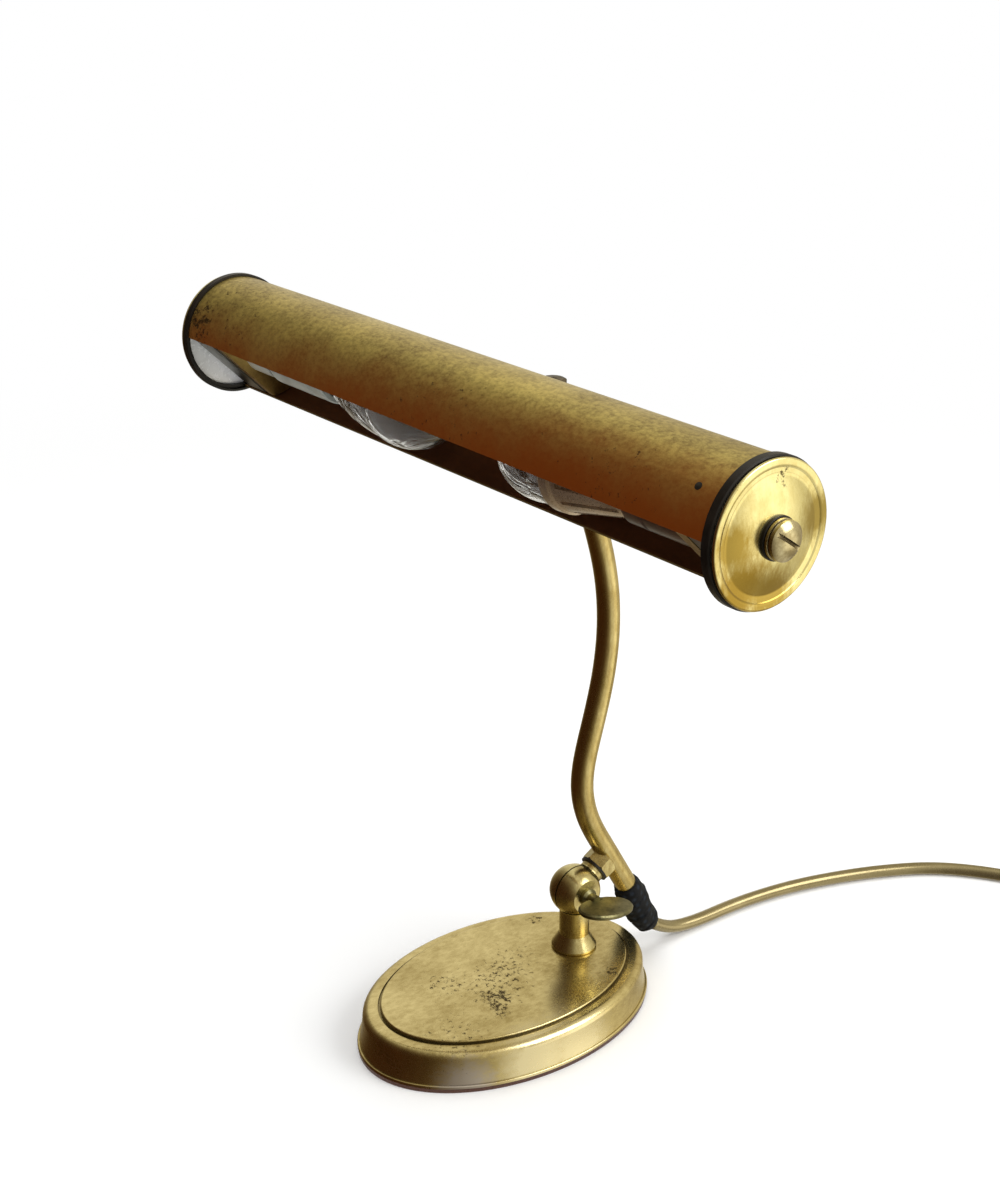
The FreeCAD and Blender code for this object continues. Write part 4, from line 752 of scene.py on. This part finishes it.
# Painted shade: darker gold patches toward the left, lower and right edges of the cap's dish, standing in for
# the dish's dimmer reflections there.
CAP_PAINTED_SHADE = tuple(Patch(at(CAP_FACE, y, z), radius * MM, colour) for y, z, radius, colour in (
    (-38, 264, 15, "#a68a3a"), (-43, 279, 11, "#b39a4b"), (-25, 259, 13, "#b39a4b"),
    (-5, 282, 11, "#a8944f")))


class Stock(Enum):
    """The finishes that the lamp's pieces are made in."""

    SHADE = AgedBrass("lacquered_brass_painted_low_shade", colour="#cdb763", tarnish="#6f5a2a", roughness=0.27,
                      blotch_mm=44.0, tarnished=0.4, mottle_mm=1.9, mottled=0.58, speck_mm=2.6,
                      speck_from=0.648, rub=(0.75, 1.0, 1.0), metallic=0.8, relief=0.2,
                      ramp=PAINTED_LOW_SHADE, patches=SHADE_PITS,
                      hollow=HollowSide(SHADE_AXIS, SHADE_RADIUS - SHADE_WALL / 2, "#5e3824"))
    BASE = AgedBrass("worn_lacquered_spun_brass", colour="#e6d69c", tarnish="#97803f", roughness=0.18,
                     blotch_mm=30.0, tarnished=0.45, mottled=0.36, speck_mm=2.2, speck_from=0.69,
                     rub=(1.0, 0.5, 1.0), painted_corner_shade=0.7, patches=BASE_PITS + BASE_SHEEN_AND_WEAR)
    TUBE = AgedBrass("lacquered_brass_tube", colour="#e0d094", tarnish="#a08438", roughness=0.17,
                     blotch_mm=26.0, tarnished=0.45, rub=(1.0, 1.0, 0.3), speck_from=0.74)
    TURNED = AgedBrass("turned_aged_brass", colour="#e0d49c", tarnish="#8a7236", roughness=0.17, painted_corner_shade=0.6,
                       blotch_mm=16.0, tarnished=0.5, rub=(1.0, 1.0, 0.4), speck_from=0.74)
    POLISHED = AgedBrass("spun_polished_brass", colour="#f8efb2", tarnish="#c2ad58", roughness=0.16,
                         blotch_mm=20.0, tarnished=0.45, mottled=0.25, speck_mm=3.0, speck_from=0.72,
                         relief=0.08, painted_corner_shade=0.7, rub=(1.0, 1.0, 0.4), patches=CAP_PITS + CAP_PAINTED_SHADE)
    SHEET = AgedBrass("raw_sheet_brass", colour="#bda162", tarnish="#7c5d2c", roughness=0.38, blotch_mm=20.0,
                      tarnished=0.6)
    SCREW = AgedBrass("brass_screw_stock", colour="#d0c59c", tarnish="#8a774a", roughness=0.15, blotch_mm=6.0,
                      mottle_mm=1.4, tarnished=0.6, speck_mm=2.0, painted_corner_shade=0.95, rub=(1.0, 1.0, 1.0))
    WING = AgedBrass("dulled_pressed_brass", colour="#8e8862", tarnish="#4a4830", roughness=0.24,
                     blotch_mm=9.0, mottle_mm=1.6, tarnished=0.7, rub=(1.0, 1.0, 1.0))
    DARK_KNOB = Moulded("worn_bronzed_knob", colour="#2c241a", worn="#8a7c60", wear=0.6, roughness=0.42,
                        metallic=0.7, grain_mm=0.5, relief=0.4)
    STEEL = Moulded("zinc_plated_steel", colour="#8c8d89", worn="#5b5a52", roughness=0.36, metallic=1.0)
    DARK_STEEL = Moulded("blackened_sheet_steel", colour="#3a2819", worn="#5c4029", wear=0.7, roughness=0.45,
                         metallic=0.4)
    IRON = Moulded("rough_cast_iron", colour="#3b3936", worn="#5a4436", roughness=0.7, metallic=0.8,
                   grain_mm=1.2, relief=0.6)
    NICKEL = Moulded("nickel_plated_brass", colour="#c9c6bd", worn="#a39f93", wear=0.4, roughness=0.2,
                     metallic=1.0)
    BLACK_FIBRE = Moulded("black_vulcanised_fibre", colour="#0d0a07", worn="#2a2118", wear=0.4,
                          roughness=0.42, grain_mm=0.6, relief=0.2, coat=0.08, shine=0.3)
    BLACK_PLASTIC = Moulded("black_phenolic", colour="#16140f", worn="#26221c", wear=0.4, roughness=0.35,
                            coat=0.2)
    TIN = Moulded("tinned_sheet_steel", colour="#ffffff", worn="#cdd2cd", roughness=0.25, metallic=0.2,
                  grain_mm=2.0)
    GREY_HOLDER = Moulded("grey_glazed_steatite", colour="#8f928c", worn="#6d6e66", wear=0.6, roughness=0.32,
                          grain_mm=1.0, coat=0.4)
    BROWN_HOLDER = Moulded("brown_phenolic", colour="#2a160c", worn="#4a2a16", wear=0.6, roughness=0.34,
                           coat=0.3)
    SINK = Moulded("gold_anodised_aluminium", colour="#d3c0a6", worn="#96806a", wear=0.6, roughness=0.28,
                   metallic=0.9)
    GOLD_CORD = Moulded("gold_pvc_sheath", colour="#a1946c", worn="#837650", roughness=0.24, metallic=0.85,
                        grain_mm=1.6, relief=0.05, coat=0.3)
    PLUG = Moulded("gold_tinted_moulded_pvc", colour="#a08c52", worn="#88753f", roughness=0.42, metallic=0.6,
                   grain_mm=1.0, relief=0.12)
    LEAD = Moulded("white_wire_sheath", colour="#d9d4c4", worn="#b5ae98", roughness=0.5)
    STEM_GLASS = Moulded("pressed_glass_stem", colour="#b9b6ad", worn="#8d897e", wear=0.4, roughness=0.25,
                         coat=0.5)
    FELT = PressedFelt()
    TAPE = WovenTape()
    GLASS = ClearGlass()


class Workshop:
    """Makes each finish once and puts it on the pieces."""

    def __init__(self, nodes: Mapping[str, bpy.types.Object]) -> None:
        """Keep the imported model's nodes.

        Args:
            nodes: The CAD nodes by name.
        """
        self.nodes = nodes
        self._made: dict[Stock, bpy.types.Material] = {}

    def material(self, stock: Stock) -> bpy.types.Material:
        """The finish's material, made when it is first asked for.

        Args:
            stock: Which finish.

        Returns:
            Its material.
        """
        if stock not in self._made:
            recipe: Finish = stock.value
            self._made[stock] = recipe.build()
        return self._made[stock]

    def dress(self, stock: Stock, *names: str) -> None:
        """Put a finish on CAD nodes.

        Args:
            stock: Which finish.
            names: The nodes' names.
        """
        for name in names:
            piece = self.nodes[name]
            for place in piece.material_slots:
                place.material = self.material(stock)
            LOG.info("dressed %s in %s", name, self.material(stock).name)

    def finish(self, piece: bpy.types.Object, stock: Stock) -> None:
        """Put a finish on a new piece.

        Args:
            piece: The new piece.
            stock: Which finish.
        """
        piece.data.materials.clear()
        piece.data.materials.append(self.material(stock))
        LOG.info("made %s in %s", piece.name, self.material(stock).name)


# ---------------------------------------------------------------- studio
@dataclass(frozen=True)
class SoftLamp:
    """A square soft lamp.

    Attributes:
        name: Its name.
        place: Where it hangs.
        width: The length of its side.
        power: Its power in watts.
        mirrored: Whether metal shows it.
    """

    name: str
    place: Point
    width: float
    power: float
    mirrored: bool = False

    def build(self, target: Point) -> None:
        """Hang the lamp.

        Args:
            target: The place it is aimed at.
        """
        data = bpy.data.lights.new(self.name, "AREA")
        data.size = self.width
        data.energy = self.power
        lamp = bpy.data.objects.new(self.name, data)
        bpy.context.scene.collection.objects.link(lamp)
        aim = Vector(target) - Vector(self.place)
        lamp.matrix_world = Matrix.Translation(self.place) @ aim.to_track_quat("-Z", "Y").to_matrix().to_4x4()
        lamp.visible_glossy = self.mirrored


@dataclass(frozen=True)
class Studio:
    """A white floor, a white surround and soft lamps. The side in front and to the left is a dim warm room.

    Attributes:
        bright_side: The direction of the white wall, which metal mirrors.
        room: Stops of what metal mirrors, from the dim side to the white side: place from 0 to 1 and colour.
        window: The direction of a brighter opening.
        window_edge: Cosines of the angle from that direction where the opening starts and is full.
        window_light: How much the opening adds.
        window_colour: The opening's linear colour.
        day: How strongly the surround lights the lamp.
        floor_half: Half the floor's width.
        floor_fade: The distances where the floor starts to fade to white and is plain white.
        lamps: The soft lamps: a large one to the right and behind, and two weaker ones.
        target: What they are aimed at.
        camera_place: Where the camera is.
        camera_axes: Its right, up and back vectors.
        lens_mm: Its focal length.
        sensor_mm: The width of its sensor.
        sight: How far it sees.
    """

    bright_side: Point = (0.35, 0.9, 0.26)
    room: tuple[tuple[float, str], ...] = (
        (0.03, "#3d220c"), (0.18, "#45301a"), (0.32, "#6f5f48"), (0.43, "#978e7c"), (0.54, "#dcd6c5"),
        (0.64, "#efe9dc"), (0.71, "#e6dfcd"), (0.78, "#b3a88f"), (0.86, "#d2c7ac"), (1.0, "#e4dcc6"))
    window: Point = (0.8, 0.6, -0.2)
    window_edge: tuple[float, float] = (0.88, 0.99)
    window_light: float = 0.8
    window_colour: tuple[float, float, float, float] = (1.0, 0.97, 0.9, 1.0)
    day: float = 0.62
    floor_half: float = 9.0
    floor_fade: tuple[float, float] = (0.28, 1.1)
    lamps: tuple[SoftLamp, ...] = (SoftLamp("key", (1.25, 0.75, 1.15), 1.1, 15.0, mirrored=True),
                                   SoftLamp("top", (-0.3, 0.1, 1.9), 1.2, 13.0),
                                   SoftLamp("fill", (0.4, -1.7, 0.9), 1.2, 5.0))
    target: Point = (0.0, 0.0, 0.15)
    camera_place: Point = (0.54532, -0.43762, 0.48536)
    camera_axes: tuple[Point, Point, Point] = ((0.62095, 0.78384, 0.00382), (-0.30078, 0.23376, 0.92460),
                                               (0.72385, -0.57527, 0.38092))
    lens_mm: float = 67.505
    sensor_mm: float = 36.0
    sight: float = 40.0

    def build(self) -> None:
        """Make the surround, the floor, the lamps and the camera."""
        bpy.context.scene.view_settings.view_transform = "Standard"
        self._surround()
        self._floor()
        for lamp in self.lamps:
            lamp.build(self.target)
        self._camera()

    def _mirrored(self, tree: bpy.types.NodeTree, direction: bpy.types.NodeSocket) -> bpy.types.NodeSocket:
        """What metal mirrors in a direction.

        The cosine to the bright side goes through the room's stops, and the window's light is added.

        Args:
            tree: The tree that the nodes go in.
            direction: The direction, of any length.

        Returns:
            The colour.
        """
        unit = add_node(tree, "VectorMath", {0: direction}, operation="NORMALIZE").outputs[0]
        toward = Vector(self.bright_side).normalized()
        cosine = add_node(tree, "VectorMath", {0: unit, 1: toward}, operation="DOT_PRODUCT").outputs["Value"]
        share = add_node(tree, "MapRange", {"Value": cosine, "From Min": -1.0}).outputs["Result"]
        ramp = add_node(tree, "ValToRGB", {"Fac": share})
        stops = ramp.color_ramp.elements
        stops.remove(stops[1])
        for place, colour in self.room:
            stops.new(place).color = linear(colour)
        stops.remove(stops[0])
        facing = add_node(tree, "VectorMath", {0: unit, 1: Vector(self.window).normalized()},
                          operation="DOT_PRODUCT").outputs["Value"]
        opening = add_node(tree, "MapRange", {"Value": facing, "From Min": self.window_edge[0],
                                              "From Max": self.window_edge[1], "To Max": self.window_light},
                           interpolation_type="SMOOTHSTEP").outputs["Result"]
        return add_node(tree, "Mix", {"Factor": opening, 6: ramp.outputs["Color"], 7: self.window_colour},
                        data_type="RGBA", blend_type="ADD").outputs[2]

    def _surround(self) -> None:
        """Build the world.

        It is white behind the lamp and through glass, the dim room in metal, and plain day light on the rest.
        """
        world = bpy.data.worlds.new("surround")
        world.use_nodes = True
        tree = world.node_tree
        tree.nodes.clear()
        rays = add_node(tree, "LightPath").outputs
        mirrored = self._mirrored(tree, add_node(tree, "TexCoord").outputs["Generated"])
        seen = add_node(tree, "Math", {0: rays["Is Camera Ray"], 1: rays["Is Transmission Ray"]},
                        operation="MAXIMUM").outputs[0]
        grey = (self.day, self.day, self.day, 1.0)
        shown = add_node(tree, "Mix", {"Factor": rays["Is Glossy Ray"], 6: grey, 7: mirrored},
                         data_type="RGBA").outputs[2]
        shown = add_node(tree, "Mix", {"Factor": seen, 6: shown, 7: WHITE}, data_type="RGBA").outputs[2]
        light = add_node(tree, "Background", {"Color": shown, "Strength": 1.0})
        add_node(tree, "OutputWorld", {"Surface": light.outputs[0]})
        bpy.context.scene.world = world

    def _floor(self) -> None:
        """A matt white floor that keeps the shadow near the lamp and fades to plain white further out."""
        half = self.floor_half
        corners = np.array([(-half, -half, 0), (half, -half, 0), (half, half, 0), (-half, half, 0)], float)
        floor = add_mesh("floor", corners, [(0, 1, 2, 3)])
        material, tree = empty_material("matt_white_floor")
        place = add_node(tree, "TexCoord").outputs["Object"]
        rays = add_node(tree, "LightPath").outputs
        away = add_node(tree, "VectorMath", {0: place}, operation="LENGTH").outputs["Value"]
        far = add_node(tree, "MapRange", {"Value": away, "From Min": self.floor_fade[0],
                                          "From Max": self.floor_fade[1]}, interpolation_type="SMOOTHSTEP")
        paint = add_node(tree, "BsdfDiffuse", {"Color": linear("#fbfbfa")}).outputs[0]
        white = add_node(tree, "Emission", {"Color": WHITE}).outputs[0]
        faded = add_node(tree, "Math", {0: far.outputs["Result"], 1: rays["Is Camera Ray"]},
                         operation="MULTIPLY").outputs[0]
        ground = add_node(tree, "MixShader", {0: faded, 1: paint, 2: white}).outputs[0]
        add_node(tree, "OutputMaterial", {"Surface": ground})
        floor.data.materials.append(material)
        floor.visible_glossy = False

    def _camera(self) -> None:
        """Set up the camera."""
        data = bpy.data.cameras.new("camera")
        data.sensor_fit = "HORIZONTAL"
        data.sensor_width = self.sensor_mm
        data.lens = self.lens_mm
        data.clip_end = self.sight
        camera = bpy.data.objects.new("camera", data)
        turn = Matrix(self.camera_axes).transposed()
        camera.matrix_world = Matrix.Translation(self.camera_place) @ turn.to_4x4()
        bpy.context.scene.collection.objects.link(camera)
        bpy.context.scene.camera = camera


# ---------------------------------------------------------------- cord
@dataclass(frozen=True)
class Cord:
    """The gold flex: from the tape along the table, into a flat coil of two layers, and on to the plug.

    Attributes:
        radius: Half its thickness.
        length: Its real length. Not used.
        route: Its points on the way to the coil.
        outer_turn: The middle radius of the coil's outermost turn.
        turns_wide: How many turns the bottom layer has.
        turns_above: How many whole turns lie on top of it.
        crossing: The share of a turn over which the cord steps to the next one.
        climb: The share of a turn over which it climbs to the upper layer.
        climb_early: The share of a turn by which it starts to climb before the bottom layer ends.
        points_per_turn: Points of the spline in each turn.
        upper_height: The height of the second layer's middle.
        tail: Steps from the coil's middle along the last stretch.
        sides: How many faces go round it.
    """

    radius: float = 3.0 * MM
    length: float = 1.76
    route: tuple[Point, ...] = (
        (0.0, 0.0862, 0.0129), (0.0, 0.0938, 0.0076), (0.0002, 0.1032, 0.0039),
        (0.0014, 0.1170, 0.0030), (0.0017, 0.1365, 0.0030), (0.0040, 0.1570, 0.0030),
        (0.0084, 0.1780, 0.0030), (0.0158, 0.2000, 0.0030), (0.0250, 0.2210, 0.0030),
        (0.0385, 0.2440, 0.0030), (0.0605, 0.2630, 0.0030), (0.0870, 0.2770, 0.0030),
        (0.1150, 0.2855, 0.0030))
    outer_turn: float = 45.0 * MM
    turns_wide: int = 5
    turns_above: int = 2
    crossing: float = 0.25
    climb: float = 0.3
    climb_early: float = 0.05
    points_per_turn: int = 18
    upper_height: float = 8.2 * MM
    tail: tuple[Point, ...] = ((0.0, 0.0361, 0.0082), (-0.0120, 0.0371, 0.0082), (-0.0240, 0.0378, 0.0073),
                               (-0.0355, 0.0368, 0.00685))
    sides: int = 20

    def _stepped(self, turns: np.ndarray) -> np.ndarray:
        """Whole turns so far, where each one passes to the next over its last stretch."""
        whole = np.floor(turns)
        return whole + smooth_step((turns - whole - (1 - self.crossing)) / self.crossing)

    def coil_points(self) -> np.ndarray:
        """Points of the coil's turns and of the last stretch.

        The turn number w grows evenly. The radius stays at one level through a turn and steps in by a
        cord's thickness over the turn's last part. On the upper layer it steps out again, in the
        valleys of the lower one. The coil ends a quarter turn from +X, where the tail leaves it.
        A spline of the third order lies inside its control points, so their radius is made larger
        by the same share.

        Returns:
            One row of three numbers for each point.
        """
        last, before = np.array(self.route[-1]), np.array(self.route[-2])
        heading = (last - before) / np.linalg.norm(last - before)
        centre = last + self.outer_turn * np.array([-heading[1], heading[0], 0.0])
        start = math.atan2(last[1] - centre[1], last[0] - centre[0])
        thick = 2 * self.radius
        part_turn = (math.pi / 2 - start) / (2 * math.pi)
        total = self.turns_wide + self.turns_above + part_turn
        w = np.arange(1, int(total * self.points_per_turn)) / self.points_per_turn
        inward = self.outer_turn - thick * np.minimum(self._stepped(w), self.turns_wide - 1)
        climbed = w - self.turns_wide
        innermost = self.outer_turn - thick * (self.turns_wide - 1)
        valley = 0.5 * smooth_step(climbed / self.climb)
        outward = innermost + thick * (valley + np.clip(self._stepped(climbed), 0, self.turns_above))
        drawn_in = 0.75 + 0.25 * math.cos(2 * math.pi / self.points_per_turn)
        radius = np.where(w < self.turns_wide, inward, outward) / drawn_in
        rise = smooth_step((climbed + self.climb_early) / self.climb)
        height = self.radius + (self.upper_height - self.radius) * rise
        turn = start + 2 * math.pi * w
        turns = np.stack([centre[0] + radius * np.cos(turn), centre[1] + radius * np.sin(turn), height],
                         axis=1)
        tail = np.array(self.tail) + np.array([centre[0], centre[1], 0.0])
        return np.vstack([turns, tail])

    def spline_line(self) -> np.ndarray:
        """Points read from a smooth NURBS spline whose control points are the route's and the coil's.

        Returns:
            The line's points, from the exit to the plug.
        """
        points = np.vstack([np.array(self.route), self.coil_points()])
        curve = bpy.data.curves.new("cord_route", "CURVE")
        curve.dimensions = "3D"
        spline = curve.splines.new("NURBS")
        spline.points.add(len(points) - 1)
        spline.points.foreach_set("co", np.column_stack([points, np.ones(len(points))]).ravel())
        spline.order_u = 3
        spline.use_endpoint_u = True
        spline.resolution_u = 6
        holder = bpy.data.objects.new("cord_route", curve)
        mesh = bpy.data.meshes.new_from_object(holder)
        line = np.zeros(len(mesh.vertices) * 3)
        mesh.vertices.foreach_get("co", line)
        bpy.data.objects.remove(holder)
        return line.reshape(-1, 3)

    def build(self, shop: Workshop) -> None:
        """Args:
            shop: Where the finishes come from.
        """
        line = self.spline_line()
        cord = carried_tube("cord", line, lambda s, t: np.full_like(s, self.radius), self.sides)
        shop.finish(cord, Stock.GOLD_CORD)
        shop.dress(Stock.PLUG, "plug_body")
        shop.dress(Stock.NICKEL, "plug_pins")
        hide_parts("cord_run", "cord_coil", "cord_tail")
        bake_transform(cord)


# ---------------------------------------------------------------- tape
@dataclass(frozen=True)
class TapeWrap:
    """Cloth tape wound over the arm's foot and the first of the cord, each turn half over the last.

    Attributes:
        places: The middle of the winding: distance back and height, in metres.
        radii: The winding's radius at each place.
        pitch: How far each turn moves along.
        lap: How far each turn stands over the last.
        lap_edge: The share of a turn over which the tape's edge rises.
        lap_sink: The share of the lap that is lost again by the turn's end.
        lap_inside: The share of the lap that lies inside the radius.
        puckers: Waves where the cloth puckers: height, waves round, and waves along in radians a metre.
        plain_end: The length at each end without laps and puckers.
        mean_radius: The radius that the map round the winding is worked out for.
        averaged: How many rings on each side a radius or place is averaged over.
        sides: How many faces go round it.
        rings: How many rings it has.
    """

    places: tuple[tuple[float, float], ...] = ((0.06965, 0.04008), (0.0717, 0.0366), (0.0741, 0.0320),
                                               (0.0779, 0.0234), (0.0822, 0.0170), (0.0849, 0.0141),
                                               (0.0862, 0.0129))
    radii: tuple[float, ...] = (5.7 * MM, 6.5 * MM, 6.7 * MM, 6.6 * MM, 6.2 * MM, 5.4 * MM, 3.9 * MM)
    pitch: float = 8.5 * MM
    lap: float = 0.7 * MM
    lap_edge: float = 0.12
    lap_sink: float = 0.55
    lap_inside: float = 0.4
    puckers: tuple[tuple[float, int, float], ...] = ((0.16 * MM, 3, 420.0), (0.1 * MM, 7, -900.0))
    plain_end: float = 3 * MM
    mean_radius: float = 6.3 * MM
    averaged: int = 12
    sides: int = 72
    rings: int = 150

    def build(self, shop: Workshop) -> None:
        """Make the winding and finish it.

        The radius is the smoothed radius at that distance, plus a step that rises along each turn of the
        tape and drops at its edge, plus slow waves where the cloth puckers.

        Args:
            shop: Where the finishes come from.
        """
        rough = np.array([(0.0, y, z) for y, z in self.places])
        spans = along(rough)
        even = np.linspace(0.0, spans[-1], self.rings)
        line = np.column_stack([np.zeros(self.rings), self._smooth(spans, rough[:, 1], even),
                                self._smooth(spans, rough[:, 2], even)])
        reach = along(line)
        held = np.array(self.radii)

        def radius(distance: Grid, turn: Grid) -> Grid:
            """The winding's radius.

            Args:
                distance: Metres along the winding.
                turn: Radians round it.

            Returns:
                The radius in metres.
            """
            body = np.interp(distance, reach / reach[-1] * spans[-1], self._smooth(spans, held, even))
            phase = distance / self.pitch + turn / (2 * math.pi)
            step = phase - np.floor(phase)
            edge = np.clip(step / self.lap_edge, 0, 1) * (1.0 - self.lap_sink * step)
            pucker = sum(height * np.sin(round_it * turn + along_it * distance)
                         for height, round_it, along_it in self.puckers)
            left = spans[-1] - distance
            fade = smooth_step(distance / self.plain_end) * smooth_step(left / self.plain_end)
            return body + fade * (self.lap * (edge - self.lap_inside) + pucker)

        wrap = carried_tube("tape_winding", line, radius, self.sides)
        self._map(wrap, reach)
        shop.finish(wrap, Stock.TAPE)
        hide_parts("tape_wrap")
        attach(wrap, "arm")

    def _smooth(self, spans: np.ndarray, values: np.ndarray, wanted: np.ndarray) -> np.ndarray:
        """Values between the stations, by straight lines rounded off with a short moving average.

        Each end is continued by its own mirror image through the end point, so that the average keeps
        the end as it is.

        Args:
            spans: The stations' distances.
            values: The values there.
            wanted: The distances that values are wanted at.

        Returns:
            The smoothed values, exact at both ends.
        """
        plain = np.interp(wanted, spans, values)
        reach, window = self.averaged, 2 * self.averaged + 1
        before, after = 2 * plain[0] - plain[reach:0:-1], 2 * plain[-1] - plain[-2:-reach - 2:-1]
        return np.convolve(np.concatenate([before, plain, after]), np.ones(window) / window, mode="valid")

    def _map(self, wrap: bpy.types.Object, reach: np.ndarray) -> None:
        """Give the winding a map in metres that follows the tape: round it, and along it with the pitch.

        Args:
            wrap: The winding.
            reach: The distance of each ring.
        """
        mesh = wrap.data
        corner = np.zeros(len(mesh.loops), int)
        starts = np.zeros(len(mesh.polygons), int)
        counts = np.zeros(len(mesh.polygons), int)
        mesh.loops.foreach_get("vertex_index", corner)
        mesh.polygons.foreach_get("loop_start", starts)
        mesh.polygons.foreach_get("loop_total", counts)
        ring, side = corner // self.sides, corner % self.sides
        first = np.repeat(side[starts], counts)
        side = np.where((first == self.sides - 1) & (side == 0), self.sides, side)
        turn = side / self.sides
        around = turn * 2 * math.pi * self.mean_radius
        down = reach[ring] + self.pitch * turn
        layer = mesh.uv_layers.new(name="wound")
        layer.data.foreach_set("uv", np.column_stack([around, down]).ravel())


# ---------------------------------------------------------------- rigid sub-assemblies
Finishes = tuple[tuple[Stock, tuple[str, ...]], ...]


def both(*names: str) -> tuple[str, ...]:
    """The names of each pair's left and right piece."""
    return tuple(f"{name}_{side}" for name in names for side in ("left", "right"))


@dataclass(frozen=True)
class SubAssembly:
    """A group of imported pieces.

    Attributes:
        finishes: Each finish with the pieces that are made in it.
    """

    finishes: Finishes = ()

    def build(self, shop: Workshop) -> None:
        """Finish the group's pieces.

        Args:
            shop: Where the finishes come from.
        """
        for stock, names in self.finishes:
            shop.dress(stock, *names)


@dataclass(frozen=True)
class Base(SubAssembly):
    """The oval foot: felt, iron weight, spun cover and the post."""

    finishes: Finishes = ((Stock.FELT, ("base_felt",)),
                          (Stock.IRON, ("base_weight",)),
                          (Stock.BASE, ("base_cover",)),
                          (Stock.TURNED, ("post_collar",)),
                          (Stock.STEEL, ("post_stud", "post_washer", "post_nut")))


@dataclass(frozen=True)
class Knuckle(SubAssembly):
    """The ball joint that tilts the arm, with its friction washer and wing screw."""

    finishes: Finishes = ((Stock.TURNED, ("knuckle_lower", "knuckle_upper", "coupling_nut")),
                          (Stock.WING, ("wing_screw",)),
                          (Stock.BLACK_FIBRE, ("knuckle_washer", "coupling_washer")))


@dataclass(frozen=True)
class Arm(SubAssembly):
    """The bent tube, its bush and ferrule, and the ball head with its switch."""

    finishes: Finishes = ((Stock.TUBE, ("arm_tube", "head_ball", "arm_ferrule", "nipple_flange")),
                          (Stock.BLACK_PLASTIC, ("arm_bush", "switch_body")),
                          (Stock.STEEL, ("head_nipple", "nipple_nut")),
                          (Stock.DARK_KNOB, ("switch_knob",)))


@dataclass(frozen=True)
class Shade(SubAssembly):
    """The slit tube that turns, its rivet and everything on its two ends."""

    finishes: Finishes = ((Stock.SHADE, ("shade_tube",)),
                          (Stock.BLACK_PLASTIC, ("shade_rivet",)),
                          (Stock.BLACK_FIBRE, both("end_ring", "cap_washer")),
                          (Stock.TIN, both("cap_liner")),
                          (Stock.POLISHED, both("end_cap")),
                          (Stock.SCREW, both("cap_collar", "cap_screw")))


@dataclass(frozen=True)
class Chassis(SubAssembly):
    """The rail inside the shade with its plates, lampholders, bulbs and leads."""

    finishes: Finishes = ((Stock.DARK_STEEL, ("chassis_rail", "end_plate_right")),
                          (Stock.SHEET, both("bulkhead")),
                          (Stock.STEEL, ("end_plate_left", "holder_base_right")),
                          (Stock.GREY_HOLDER, ("lampholder_left", "holder_base_left")),
                          (Stock.BROWN_HOLDER, ("lampholder_right",)),
                          (Stock.NICKEL, ("bulb_left_cap", "bulb_right_cap")),
                          (Stock.GLASS, ("bulb_left_glass", "bulb_right_dome")),
                          (Stock.STEM_GLASS, ("bulb_left_stem",)),
                          (Stock.SINK, ("bulb_right_body",)),
                          (Stock.LEAD, both("lead")))


def main() -> None:
    """Load the model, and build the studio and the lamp."""
    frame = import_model()
    logging.basicConfig(level=logging.INFO, format="%(name)s: %(message)s")
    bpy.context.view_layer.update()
    shop = Workshop(frame["nodes"])
    Studio().build()
    Cord().build(shop)
    TapeWrap().build(shop)
    for assembly in (Base(), Knuckle(), Arm(), Shade(), Chassis()):
        assembly.build(shop)
        LOG.info("%s is finished", type(assembly).__name__)


if __name__ == "__main__":
    main()
